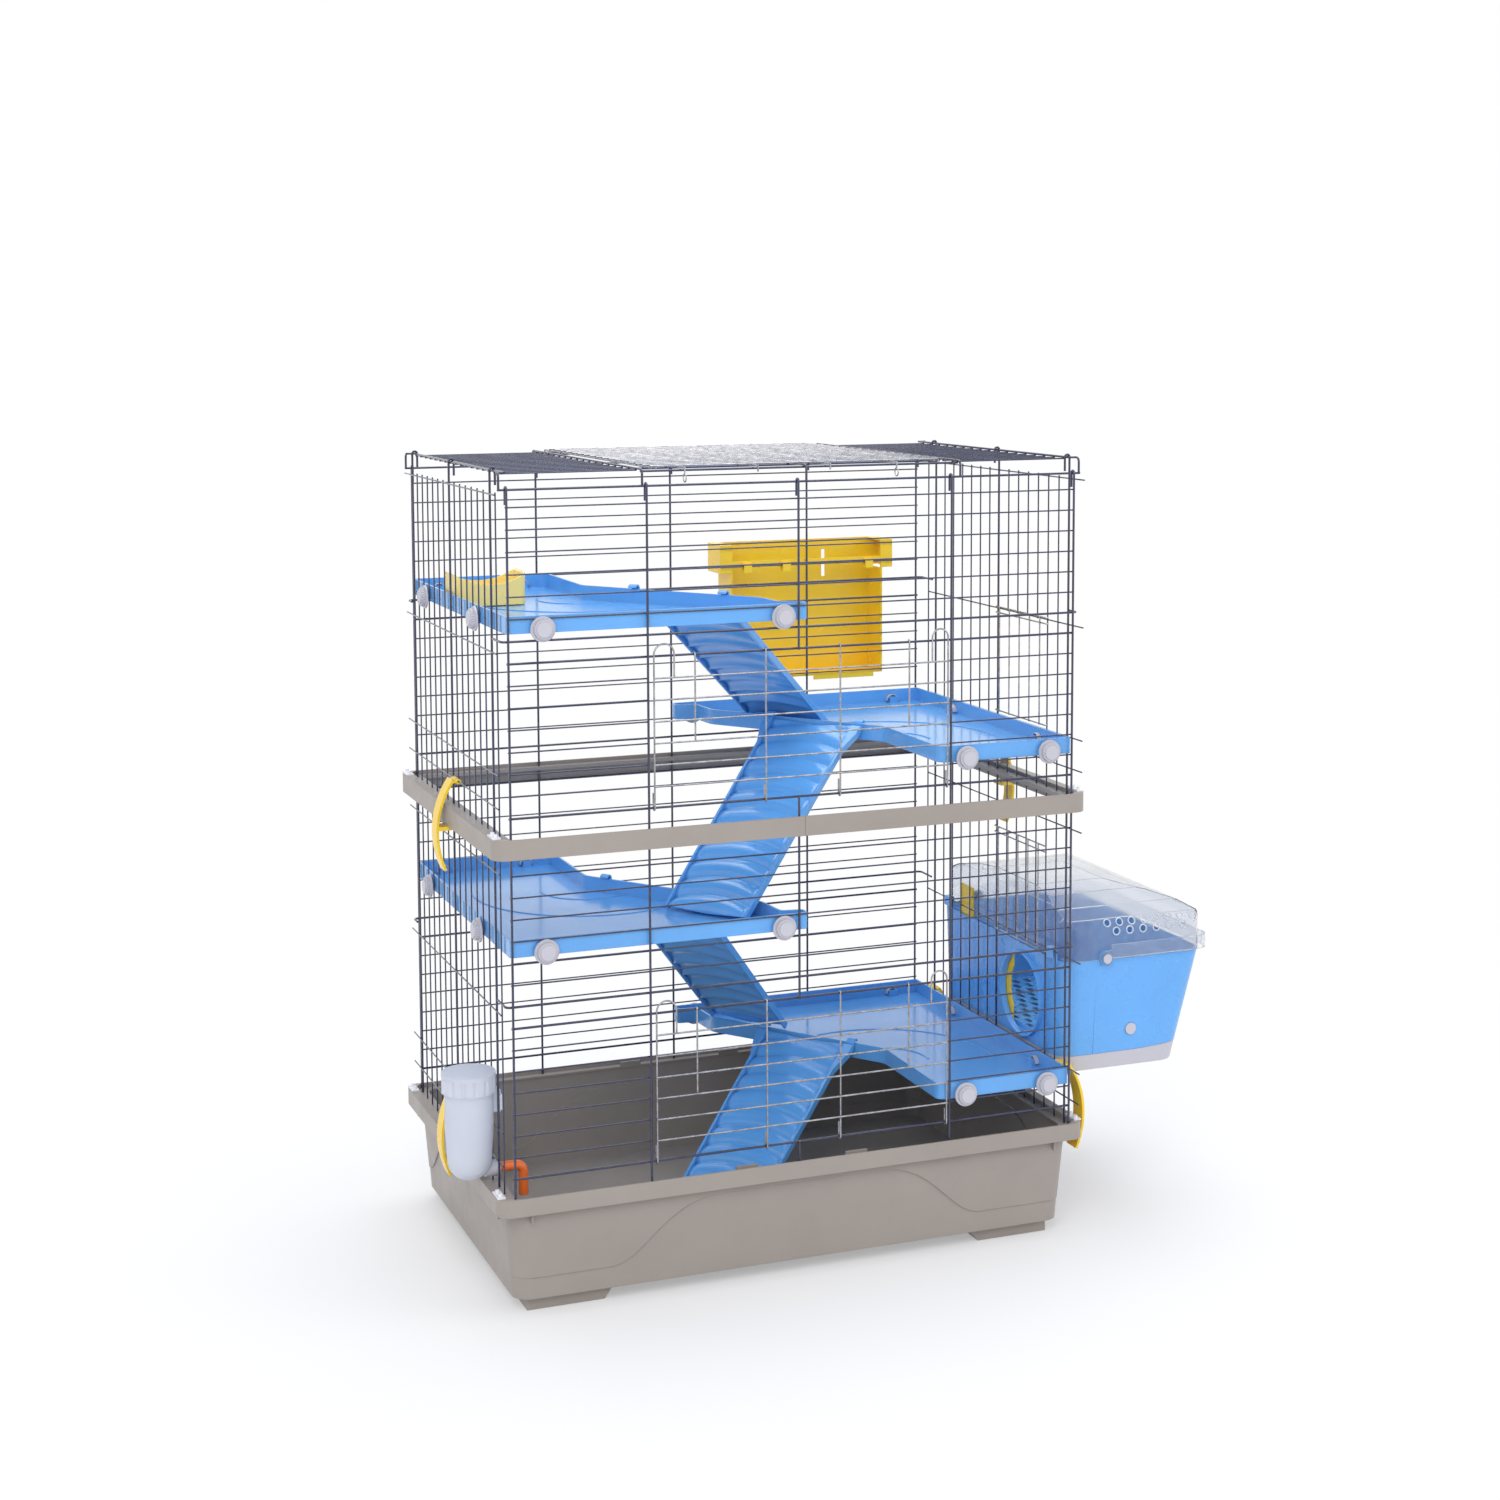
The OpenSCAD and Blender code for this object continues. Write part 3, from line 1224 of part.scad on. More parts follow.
module lid_form(d, z0) {
  translate([0, carrier_mid_y, carrier_rim_z]) intersection() {
    translate([carrier_x0 + (lid_near + carrier_w) / 2, 0, z0]) linear_extrude(lid_h + 5)
      round_rect(carrier_w - lid_near - 2 * d, carrier_l - 2 * d, 30 - d);
    translate([carrier_x0, carrier_l / 2 + 5, 0]) rotate([90, 0, 0]) linear_extrude(carrier_l + 10)
      polygon(inset(lid_side, d));
    translate([carrier_x0 - 5, 0, 0]) rotate([90, 0, 90]) linear_extrude(carrier_w + 10)
      polygon(inset(lid_end, d));
  }
}

module carrier_lid() {
  color(frost_colour) place() difference() {
    lid_form(0, lid_seat);
    lid_form(lid_wall, -5);
    for (row = vent_rows, i = [0:row[1] - 1])
      translate([carrier_x0 + row[2] + i * (row[3] - row[2]) / (row[1] - 1), carrier_y1 + 1,
          carrier_rim_z + row[0]])
        rotate([90, 0, 0]) cylinder(d = 9, h = carrier_l + 2, $fn = 24);
  }
}

handle_h = 18;
handle_y = carrier_l / 2 + ear_gap + ear_t + 0.3;

module carrier_handle() {
  x1 = carrier_x1 + handle_gap;
  z0 = pivot_z;
  turn = 22;
  arm_end_x = x1 + handle_t - turn;
  bar_end_y = handle_y + handle_t - turn;
  color(frost_colour) place() difference() {
    union() {
      translate([0, carrier_mid_y, z0]) linear_extrude(handle_h) difference() {
        translate([pivot_x + 8, -handle_y - handle_t])
          square([x1 - pivot_x - 8 - turn, 2 * (handle_y + handle_t)]);
        translate([pivot_x, -handle_y]) square([x1 - pivot_x, 2 * handle_y]);
      }
      translate([x1 + handle_t - turn, carrier_mid_y, z0]) linear_extrude(handle_h) difference() {
        union() {
          for (sy = [-1, 1]) translate([0, sy * (handle_y + handle_t - turn)]) circle(r = turn, $fn = 64);
          translate([0, -handle_y - handle_t + turn]) square([turn, 2 * (handle_y + handle_t - turn)]);
        }
        for (sy = [-1, 1])
          translate([0, sy * (handle_y + handle_t - turn)]) circle(r = turn - handle_t, $fn = 64);
        translate([-turn, -handle_y - handle_t + turn])
          square([2 * turn - handle_t, 2 * (handle_y + handle_t - turn)]);
        translate([-turn - 1, -handle_y]) square([turn + 1, 2 * handle_y]);
        translate([-turn - 1, -handle_y - handle_t - 1])
          square([turn - handle_t, 2 * handle_y + 2 * handle_t + 2]);
      }
      for (y = [-handle_y, handle_y + handle_t]) translate([pivot_x, carrier_mid_y + y, z0]) {
        rotate([90, 0, 0]) cylinder(d = ear_d - 1, h = handle_t, $fn = 40);
        translate([0, -handle_t, 2]) cube([12, handle_t, handle_h - 9.4]);
      }
    }
    for (sy = [-1, 1]) translate([pivot_x, carrier_mid_y + sy * handle_y + 6, z0]) rotate([90, 0, 0])
      cylinder(r = pin_r + 0.3, h = 12, $fn = 24);
    for (sy = [-1, 1]) {
      translate([arm_end_x - split_gap, carrier_mid_y + sy * handle_y - 5, z0 - 1])
        cube([split_gap, 10, handle_h + 2]);
      translate([x1 - 1, carrier_mid_y + sy * bar_end_y, z0 - 1]) cube([handle_t + 2, split_gap, handle_h + 2]);
    }
  }
}

module carrier_pivot_caps() {
  color(white_colour) place() for (sy = [-1, 1])
    translate([pivot_x, carrier_mid_y + sy * (carrier_l / 2 + ear_gap + 0.2), pivot_z])
      rotate([-90 * sy, 0, 0]) {
      cylinder(r = pin_r, h = handle_t + ear_t + 0.6, $fn = 24);
      translate([0, 0, handle_t + ear_t + 0.4]) cylinder(d = 13, h = 1.6, $fn = 40);
    }
}

door_w = 168;
door_h = 115;
door_y0 = entry_y + 37.4;
door_travel = 104;
door_bite_r = 48;
rail_z = base_top + floor_t + 0.2;
door_z0 = rail_z + rail_t + fit;

module carrier_door() {
  color(yellow_colour) place() translate([door_x, 0, 0]) difference() {
    union() {
      translate([0, door_y0, door_z0]) cube([door_t, door_w, door_h]);
      translate([0, door_y0 + door_w - 42, door_z0 + door_h - 1]) cube([door_t, 40, 49]);
    }
    translate([-1, entry_y - 2, entry_z]) rotate([0, 90, 0]) cylinder(r = door_bite_r, h = 6, $fn = 64);
  }
}

module carrier_door_rail() {
  x0 = carrier_x0 + carrier_wall + 0.05;
  x1 = door_x + door_t + fit;
  y0 = door_y0 - door_travel - 2;
  len_y = door_w + door_travel + 4;
  color(blue_colour) place() {
    translate([x0, y0, rail_z]) cube([x1 + rail_t - x0, len_y, rail_t]);
    for (z = [rail_z, door_z0 + door_h - 7]) translate([x1, y0, z]) cube([rail_t, len_y, 8]);
    for (y = [y0 - rail_t, y0 + len_y]) {
      translate([x0, y, rail_z]) cube([x1 + rail_t - x0, rail_t + 0.01, 9]);
      translate([x0, y, door_z0 + door_h - 7]) cube([x1 + rail_t - x0, rail_t + 0.01, 8]);
    }
  }
}

module carrier_button() {
  face_y = carrier_y0 + carrier_end_taper * (1 - (button_z - carrier_z0) / carrier_rim);
  color(grey_colour) place() translate([button_x, face_y + 3, button_z]) rotate([90, 0, 0])
    cylinder(d = 16, h = 4.5, $fn = 32);
}

tub();
collar_left();
collar_right();
corner_clips();
front_panel_lower();
front_panel_upper();
back_panel_lower();
back_panel_upper();
left_panel_lower();
left_panel_upper();
right_panel_lower();
right_panel_upper();
roof_panel();
roof_lid();
front_door_lower();
front_door_upper();
side_door_lower();
side_door_upper();
shelf_lower_right();
shelf_lower_left();
shelf_upper_right();
shelf_upper_left();
ramp_lower_right();
ramp_lower_left();
ramp_upper_right();
ramp_upper_left();
knob_lower_right_a();
knob_lower_right_b();
knob_lower_right_c();
knob_lower_left_a();
knob_lower_left_b();
knob_lower_left_c();
knob_lower_left_d();
knob_upper_right_a();
knob_upper_right_b();
knob_upper_right_c();
knob_upper_left_a();
knob_upper_left_b();
knob_upper_left_c();
knob_upper_left_d();
latch_tub_left();
latch_tub_right_front();
latch_tub_right_rear();
latch_collar_left();
latch_collar_right();
bottle();
bottle_lid();
bottle_outlet();
bottle_spout();
food_bowl();
hay_rack();
carrier_body();
carrier_base();
carrier_floor();
carrier_lid();
carrier_handle();
carrier_door();
carrier_door_rail();
carrier_pivot_caps();
carrier_button();
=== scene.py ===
import math

import bmesh
import bpy
from mathutils import Matrix, Vector


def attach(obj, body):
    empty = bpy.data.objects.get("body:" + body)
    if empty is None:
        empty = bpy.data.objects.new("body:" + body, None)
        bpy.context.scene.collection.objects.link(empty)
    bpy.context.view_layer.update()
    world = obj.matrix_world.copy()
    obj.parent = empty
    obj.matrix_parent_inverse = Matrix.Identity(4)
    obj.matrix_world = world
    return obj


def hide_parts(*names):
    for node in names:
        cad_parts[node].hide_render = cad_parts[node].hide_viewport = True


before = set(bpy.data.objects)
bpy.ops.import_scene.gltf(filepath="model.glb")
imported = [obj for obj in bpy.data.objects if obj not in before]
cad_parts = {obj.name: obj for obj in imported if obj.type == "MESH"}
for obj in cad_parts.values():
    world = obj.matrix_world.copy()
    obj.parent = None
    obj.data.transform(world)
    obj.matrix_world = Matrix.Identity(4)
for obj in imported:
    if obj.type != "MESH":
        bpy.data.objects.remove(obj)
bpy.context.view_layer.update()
scene = bpy.context.scene
scene.view_settings.view_transform = "Standard"

# The middle of the tub, where the cage's own axes start, in the frame's axes and in metres
SHIFT = Vector((-0.08135, -0.017925, 0))


# Camera: the photograph's viewing point and angles. The focal length is in pixels of a picture
# of that width, and the axis row is the row of it that the camera's axis meets
PICTURE = 1500
FOCAL = 2429.71
AXIS_ROW = 550
EYE = Vector((-1.14033, -3.00604, 1.21025)) + SHIFT
YAW, PITCH, ROLL = 0.3691, 0.0940, 0.0040
SENSOR = 36
NEAREST, FURTHEST = 0.1, 60


def make_camera():
    ahead = Vector(
        (
            math.sin(YAW) * math.cos(PITCH),
            math.cos(YAW) * math.cos(PITCH),
            -math.sin(PITCH),
        )
    )
    level = Vector((math.cos(YAW), -math.sin(YAW), 0))
    down = ahead.cross(level)
    right = level * math.cos(ROLL) + down * math.sin(ROLL)
    up = level * math.sin(ROLL) - down * math.cos(ROLL)
    data = bpy.data.cameras.new("camera")
    data.sensor_width = SENSOR
    data.lens = FOCAL / PICTURE * SENSOR
    data.shift_y = -(PICTURE / 2 - AXIS_ROW) / PICTURE
    data.clip_start, data.clip_end = NEAREST, FURTHEST
    camera = bpy.data.objects.new("camera", data)
    turn = Matrix((right, up, -ahead)).transposed().to_4x4()
    camera.matrix_world = Matrix.Translation(EYE) @ turn
    scene.collection.objects.link(camera)
    scene.camera = camera


# Shader nodes that the world, the floor and the materials share


def maths(tree, operation, first, second):
    node = tree.nodes.new("ShaderNodeMath")
    node.operation = operation
    tree.links.new(first, node.inputs[0])
    tree.links.new(second, node.inputs[1])
    return node.outputs[0]


def ranged(tree, source, before, after):
    """Maps a value from one (low, high) range to another."""
    node = tree.nodes.new("ShaderNodeMapRange")
    sockets = ("From Min", "From Max", "To Min", "To Max")
    for socket, value in zip(sockets, (*before, *after)):
        node.inputs[socket].default_value = value
    tree.links.new(source, node.inputs["Value"])
    return node.outputs["Result"]


def glow(tree, kind, colour, strength):
    node = tree.nodes.new(kind)
    node.inputs["Color"].default_value = colour
    node.inputs["Strength"].default_value = strength
    return node.outputs[0]


def mixed(tree, share, first, second):
    """All of the first shader where the share is 0, all of the second where it is 1."""
    node = tree.nodes.new("ShaderNodeMixShader")
    for place, source in enumerate((share, first, second)):
        tree.links.new(source, node.inputs[place])
    return node.outputs[0]


def seen_directly(tree):
    """1 for rays that come from the camera, or by a reflection or through glass; else 0."""
    path = tree.nodes.new("ShaderNodeLightPath")
    total = path.outputs["Is Camera Ray"]
    for kind in ("Is Glossy Ray", "Is Transmission Ray"):
        total = maths(tree, "MAXIMUM", total, path.outputs[kind])
    return total


# The studio: colours with strengths, and lamps with place, aim, size and power
AMBIENT = (0.93, 0.95, 1, 1), 0.85
WHITE = (1, 1, 1, 1), 1.0
LAMPS = {
    "key": ((-1.9, -3.0, 2.8), (0, 0, 0.4), (2.0, 2.0), 60),
    "fill": ((2.9, -1.9, 1.8), (0, 0, 0.5), (1.8, 2.2), 22),
    "top": ((0.2, 0.6, 3.4), (0, 0, 0.4), (2.6, 2.6), 56),
}
FLOOR_REACH = 14
FLOOR_COLOUR, FLOOR_ROUGHNESS, FLOOR_SPECULAR = (0.80, 0.80, 0.81, 1), 0.75, 0.2
# Where it is seen directly, the floor's share of white grows between these two radii
FADE_RADII, FADE_SHARES = (0.45, 1.6), (0.35, 1.0)


def make_world():
    world = bpy.data.worlds.new("studio")
    scene.world = world
    world.use_nodes = True
    tree = world.node_tree
    tree.nodes.clear()
    out = tree.nodes.new("ShaderNodeOutputWorld")
    ambient = glow(tree, "ShaderNodeBackground", *AMBIENT)
    backdrop = glow(tree, "ShaderNodeBackground", *WHITE)
    look = mixed(tree, seen_directly(tree), ambient, backdrop)
    tree.links.new(look, out.inputs["Surface"])


def make_lights():
    for name, (place, aim, size, power) in LAMPS.items():
        data = bpy.data.lights.new(name, "AREA")
        data.shape = "RECTANGLE"
        data.size, data.size_y = size
        data.energy = power
        lamp = bpy.data.objects.new(name, data)
        lamp.location = place
        way = Vector(aim) - Vector(place)
        lamp.rotation_euler = way.to_track_quat("-Z", "Y").to_euler()
        scene.collection.objects.link(lamp)


def make_floor():
    mesh = bpy.data.meshes.new("floor")
    r = FLOOR_REACH
    corners = [(-r, -r, 0), (r, -r, 0), (r, r, 0), (-r, r, 0)]
    mesh.from_pydata(corners, [], [(0, 1, 2, 3)])
    floor = bpy.data.objects.new("floor", mesh)
    scene.collection.objects.link(floor)
    material = bpy.data.materials.new("floor")
    material.use_nodes = True
    tree = material.node_tree
    shader = tree.nodes["Principled BSDF"]
    shader.inputs["Base Color"].default_value = FLOOR_COLOUR
    shader.inputs["Roughness"].default_value = FLOOR_ROUGHNESS
    shader.inputs["Specular IOR Level"].default_value = FLOOR_SPECULAR
    coords = tree.nodes.new("ShaderNodeTexCoord")
    length = tree.nodes.new("ShaderNodeVectorMath")
    length.operation = "LENGTH"
    tree.links.new(coords.outputs["Object"], length.inputs[0])
    fade = ranged(tree, length.outputs["Value"], FADE_RADII, FADE_SHARES)
    share = maths(tree, "MULTIPLY", fade, seen_directly(tree))
    white = glow(tree, "ShaderNodeEmission", *WHITE)
    look = mixed(tree, share, shader.outputs[0], white)
    tree.links.new(look, tree.nodes["Material Output"].inputs["Surface"])
    mesh.materials.append(material)


# Materials

NOISE_RANGE = (0.3, 0.7)
BUMP_STRENGTH = 0.8
MOULDED_EDGE, EDGE_SAMPLES = 0.0009, 4


class Paint:
    """One procedural material: a Principled shader that noise varies.

    The noise drives its colour, its roughness and its relief.
    """

    def __init__(self, name):
        self.material = bpy.data.materials.new(name)
        self.material.use_nodes = True
        self.tree = self.material.node_tree
        self.shader = self.tree.nodes["Principled BSDF"]
        self.coords = self.tree.nodes.new("ShaderNodeTexCoord")

    def set(self, **values):
        for socket, value in values.items():
            self.shader.inputs[socket.replace("_", " ")].default_value = value
        return self

    def noise(self, scale, detail, rough=0.55):
        node = self.tree.nodes.new("ShaderNodeTexNoise")
        node.inputs["Scale"].default_value = scale
        node.inputs["Detail"].default_value = detail
        node.inputs["Roughness"].default_value = rough
        self.tree.links.new(self.coords.outputs["Object"], node.inputs["Vector"])
        return node.outputs["Fac"]

    def bands(self, scale):
        """Level bands up the piece, a little uneven."""
        node = self.tree.nodes.new("ShaderNodeTexWave")
        node.bands_direction = "Z"
        node.inputs["Scale"].default_value = scale
        node.inputs["Distortion"].default_value = 0.4
        node.inputs["Detail Scale"].default_value = 4
        self.tree.links.new(self.coords.outputs["Object"], node.inputs["Vector"])
        return node.outputs["Fac"]

    def colour(self, source, dark, light):
        ramp = self.tree.nodes.new("ShaderNodeValToRGB")
        ends = ramp.color_ramp.elements
        for end, position, shade in zip(ends, NOISE_RANGE, (dark, light)):
            end.position = position
            end.color = (*shade, 1)
        self.tree.links.new(source, ramp.inputs["Fac"])
        self.tree.links.new(ramp.outputs["Color"], self.shader.inputs["Base Color"])
        return self

    def roughness(self, source, low, high):
        value = ranged(self.tree, source, NOISE_RANGE, (low, high))
        self.tree.links.new(value, self.shader.inputs["Roughness"])
        return self

    def relief(self, source, height):
        """Bumps, laid over whatever already turns the surface."""
        node = self.tree.nodes.new("ShaderNodeBump")
        node.inputs["Distance"].default_value = height
        node.inputs["Strength"].default_value = BUMP_STRENGTH
        self.tree.links.new(source, node.inputs["Height"])
        target = self.shader.inputs["Normal"]
        if target.is_linked:
            self.tree.links.new(target.links[0].from_socket, node.inputs["Normal"])
        self.tree.links.new(node.outputs["Normal"], target)
        return self

    def soft_edges(self, radius):
        """Edges catch the light as if they were rounded."""
        node = self.tree.nodes.new("ShaderNodeBevel")
        node.samples = EDGE_SAMPLES
        node.inputs["Radius"].default_value = radius
        self.tree.links.new(node.outputs["Normal"], self.shader.inputs["Normal"])
        return self


def shades(colour, spread):
    return [c * (1 - spread) for c in colour], [min(1, c * (1 + spread)) for c in colour]


def moulded(name, colour, spread, rough, grain, height, **sockets):
    """Moulded plastic: slow colour drift, uneven gloss and a fine moulded grain."""
    paint = Paint(name)
    paint.colour(paint.noise(9, 4), *shades(colour, spread))
    paint.roughness(paint.noise(26, 5, 0.65), *rough)
    paint.soft_edges(MOULDED_EDGE)
    paint.relief(paint.noise(grain, 4, 0.6), height)
    return paint.set(**sockets).material


def blown_bottle():
    """Frosted, slightly see-through plastic with faint level bands from the mould."""
    paint = Paint("frosted_plastic")
    paint.colour(paint.noise(9, 4), *shades((0.84, 0.87, 0.95), 0.03))
    paint.roughness(paint.noise(40, 5, 0.65), 0.34, 0.5)
    paint.relief(paint.bands(11), 0.0007)
    paint.relief(paint.noise(900, 4, 0.6), 0.00012)
    return paint.set(Transmission_Weight=0.5, IOR=1.3).material


def coated_wire():
    """Dark enamel on drawn wire, glossy and slightly uneven."""
    paint = Paint("navy_enamel")
    paint.colour(paint.noise(70, 4), (0.016, 0.018, 0.045), (0.032, 0.035, 0.082))
    paint.roughness(paint.noise(160, 4), 0.16, 0.32)
    paint.relief(paint.noise(420, 3), 0.00012)
    return paint.set(Coat_Weight=0.5, Coat_Roughness=0.08).material


def zinc_wire():
    """Bright zinc plate with a cloudy, slightly uneven surface."""
    paint = Paint("zinc_plate")
    paint.colour(paint.noise(120, 5), (0.26, 0.26, 0.28), (0.50, 0.50, 0.52))
    paint.roughness(paint.noise(300, 4), 0.2, 0.4)
    paint.relief(paint.noise(700, 3), 0.00010)
    return paint.set(Metallic=1.0).material


MATERIALS = {
    "taupe": moulded(
        "taupe_polypropylene", (0.315, 0.278, 0.248), 0.05, (0.30, 0.44), 900, 0.0001
    ),
    "navy": coated_wire(),
    "zinc": zinc_wire(),
    "blue": moulded(
        "sky_blue_polystyrene",
        (0.115, 0.365, 0.76),
        0.05,
        (0.14, 0.26),
        260,
        0.00008,
        Coat_Weight=0.35,
        Coat_Roughness=0.1,
        Subsurface_Weight=0.12,
        Subsurface_Scale=0.006,
    ),
    "carrier_blue": moulded(
        "carrier_blue_polypropylene",
        (0.125, 0.385, 0.80),
        0.04,
        (0.22, 0.34),
        700,
        0.0001,
        Subsurface_Weight=0.1,
        Subsurface_Scale=0.006,
    ),
    "grey": moulded(
        "grey_lilac_plastic", (0.50, 0.49, 0.545), 0.04, (0.28, 0.42), 800, 0.0001
    ),
    "yellow": moulded(
        "yellow_plastic",
        (0.90, 0.59, 0.025),
        0.05,
        (0.16, 0.30),
        420,
        0.0001,
        Subsurface_Weight=0.1,
        Subsurface_Scale=0.006,
    ),
    "pale_yellow": moulded(
        "pale_yellow_plastic",
        (0.90, 0.72, 0.24),
        0.04,
        (0.14, 0.26),
        300,
        0.0001,
        Subsurface_Weight=0.2,
        Subsurface_Scale=0.008,
    ),
    "frosted": blown_bottle(),
    "clear": moulded(
        "clear_smoky_plastic",
        (0.90, 0.92, 0.955),
        0.02,
        (0.05, 0.14),
        60,
        0.00006,
        Transmission_Weight=0.93,
        IOR=1.25,
    ),
    "orange": moulded(
        "orange_plastic", (0.86, 0.17, 0.03), 0.05, (0.18, 0.3), 400, 0.0001
    ),
    "white": moulded(
        "white_plastic", (0.80, 0.80, 0.82), 0.03, (0.28, 0.4), 700, 0.0001
    ),
}

# How names start, with their material and record slot; the first row that fits a name counts
FINISHES = [
    (("tub", "collar"), "taupe", "taupe_plastic"),
    ("corner_clips", "white", "white_plastic"),
    (("front_panel", "back_panel", "left_panel"), "navy", "navy_wire"),
    (("right_panel", "roof_panel"), "navy", "navy_wire"),
    (("roof_lid", "front_door", "side_door"), "zinc", "silver_wire"),
    (("shelf", "ramp"), "blue", "blue_plastic"),
    (("knob", "bottle_outlet"), "grey", "grey_plastic"),
    (("latch", "hay_rack"), "yellow", "yellow_plastic"),
    ("bottle_spout", "orange", "orange_plastic"),
    ("bottle", "frosted", "frosted_plastic"),
    ("food_bowl", "pale_yellow", "pale_yellow_plastic"),
    (("carrier_base", "carrier_button"), "grey", "grey_plastic"),
    (("carrier_body", "carrier_floor"), "carrier_blue", "carrier_blue_plastic"),
    ("carrier_door_rail", "carrier_blue", "carrier_blue_plastic"),
    ("carrier_door", "yellow", "yellow_plastic"),
    (("carrier_lid", "carrier_handle"), "clear", "clear_plastic"),
    ("carrier_pivot_caps", "grey", "white_plastic"),
]


def dress(piece, name):
    """Gives a piece or node the finish of a name."""
    _, material, slot = next(row for row in FINISHES if name.startswith(row[0]))
    piece.data.materials.clear()
    piece.data.materials.append(MATERIALS[material])


# Pieces

MERGE_DISTANCE, COLLAPSE_DISTANCE = 1e-6, 1e-7
BEVEL_SEGMENTS, BEVEL_ANGLE = 2, math.radians(35)


def piece_from(name, points, faces, finish, body, place=None, smooth=True):
    """A new piece in metres, or in what the place matrix brings to metres."""
    mesh = bpy.data.meshes.new(name)
    mesh.from_pydata([tuple(p) for p in points], [], faces)
    if place is not None:
        mesh.transform(place)
    work = bmesh.new()
    work.from_mesh(mesh)
    bmesh.ops.remove_doubles(work, verts=work.verts, dist=MERGE_DISTANCE)
    bmesh.ops.dissolve_degenerate(work, edges=work.edges, dist=COLLAPSE_DISTANCE)
    bmesh.ops.recalc_face_normals(work, faces=work.faces)
    work.to_mesh(mesh)
    work.free()
    mesh.polygons.foreach_set("use_smooth", [smooth] * len(mesh.polygons))
    piece = bpy.data.objects.new(name, mesh)
    scene.collection.objects.link(piece)
    dress(piece, finish)
    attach(piece, body)
    return piece


def bevel(piece, width):
    modifier = piece.modifiers.new("edges", "BEVEL")
    modifier.width = width
    modifier.segments = BEVEL_SEGMENTS
    modifier.limit_method = "ANGLE"
    modifier.angle_limit = BEVEL_ANGLE
    modifier.harden_normals = True


def join_lists(shapes):
    """Several (points, faces) shapes as one."""
    points, faces = [], []
    for shape_points, shape_faces in shapes:
        start = len(points)
        points += shape_points
        faces += [tuple(start + i for i in face) for face in shape_faces]
    return points, faces


def loft(rings):
    """Joins rings of equal length, each a closed loop of points, into one closed skin."""
    n, last = len(rings[0]), (len(rings) - 1) * len(rings[0])
    points = [p for loop in rings for p in loop]
    faces = [
        (k * n + i, k * n + (i + 1) % n, (k + 1) * n + (i + 1) % n, (k + 1) * n + i)
        for k in range(len(rings) - 1)
        for i in range(n)
    ]
    faces.append(tuple(range(n - 1, -1, -1)))
    faces.append(tuple(range(last, last + n)))
    return points, faces


# Ramps: wavy treads between two rails that widen into the hooks. Drawn in millimetres, with X
# down the slope from the rim's axis, Y across and Z off the slope

RAMP_LENGTH, RAMP_START, RAMP_UNDER = 345, 8, 4
RAMP_TOP_W, RAMP_MID_W, RAMP_END_W = 152, 132, 124
# The top width holds up to the first place, the middle width is reached at the second
RAMP_NECK = (RAMP_START + 14, RAMP_START + 46)
RAIL_STATIONS = [
    RAMP_START,
    RAMP_NECK[0],
    RAMP_START + 24,
    RAMP_START + 34,
    RAMP_NECK[1],
    120,
    200,
    280,
    RAMP_LENGTH,
]
RAIL_TOP, RAIL_INNER, RAIL_LEAST_W = 5, 62.5, 3.2
HOOK_W, HOOK_IN, HOOK_OUT = 12, 3.2, 5.8
HOOK_END, HOOK_STEPS = math.radians(165), 14
HOOK_FOOT, HOOK_UNDER, HOOK_TOP = RAMP_START + 1, -1.6, 1.8
TREADS, TREAD_ARC, TREAD_RISE, TREAD_POWER = 11, 13, 5.0, 0.65
TREAD_LOW, TREAD_LAP = -1.5, 0.3
TREAD_ACROSS, TREAD_STEPS = 16, 8
# Modifiers act on the placed pieces, so these two are in metres
TREAD_THICK, RAIL_EDGE = 0.0022, 0.0006
# The slanting rim that a left shelf turns to the middle of the cage, and its corner
SHELF_SLOPE = math.atan2(226, 166)
SHELF_CORNER = Vector((-190, 66))
RIM_AXIS = 1.3
# Place along the rim, shelf's top, drop of the ramp's foot, and whether the shelf is on the right
RAMPS = {
    "ramp_upper_left": (-12, 862, 208, False),
    "ramp_lower_left": (-62, 470, 243.3, False),
    "ramp_upper_right": (-56, 668, 212, True),
    "ramp_lower_right": (-44, 226, 199.6, True),
}


def ramp_half_width(s):
    start, end = RAMP_NECK
    if s <= start:
        return RAMP_TOP_W / 2
    if s <= end:
        return (RAMP_TOP_W + (RAMP_MID_W - RAMP_TOP_W) * (s - start) / (end - start)) / 2
    share = (s - end) / (RAMP_LENGTH - end)
    return (RAMP_MID_W + (RAMP_END_W - RAMP_MID_W) * share) / 2


def ramp_inner(s):
    return min(RAIL_INNER, ramp_half_width(s) - RAIL_LEAST_W)


def tread_sheet():
    """The walking surface: rows follow the arched creases between the treads."""
    pitch = (RAMP_LENGTH - RAMP_START) / TREADS
    rows = []
    for tread in range(-1, TREADS):
        for step in range(TREAD_STEPS + (tread == TREADS - 1)):
            row = []
            for i in range(TREAD_ACROSS + 1):
                u = 2 * i / TREAD_ACROSS - 1
                s = RAMP_START + (tread + step / TREAD_STEPS) * pitch + TREAD_ARC * u * u
                s = min(max(s, RAMP_START), RAMP_LENGTH)
                phase = (s - RAMP_START - TREAD_ARC * u * u) / pitch
                rise = TREAD_RISE * abs(math.sin(math.pi * phase)) ** TREAD_POWER
                row.append((s, u * (ramp_inner(s) + TREAD_LAP), TREAD_LOW + rise))
            rows.append(row)
    points = [p for row in rows for p in row]
    n = TREAD_ACROSS + 1
    faces = [
        (k * n + i, k * n + i + 1, (k + 1) * n + i + 1, (k + 1) * n + i)
        for k in range(len(rows) - 1)
        for i in range(TREAD_ACROSS)
    ]
    return points, faces


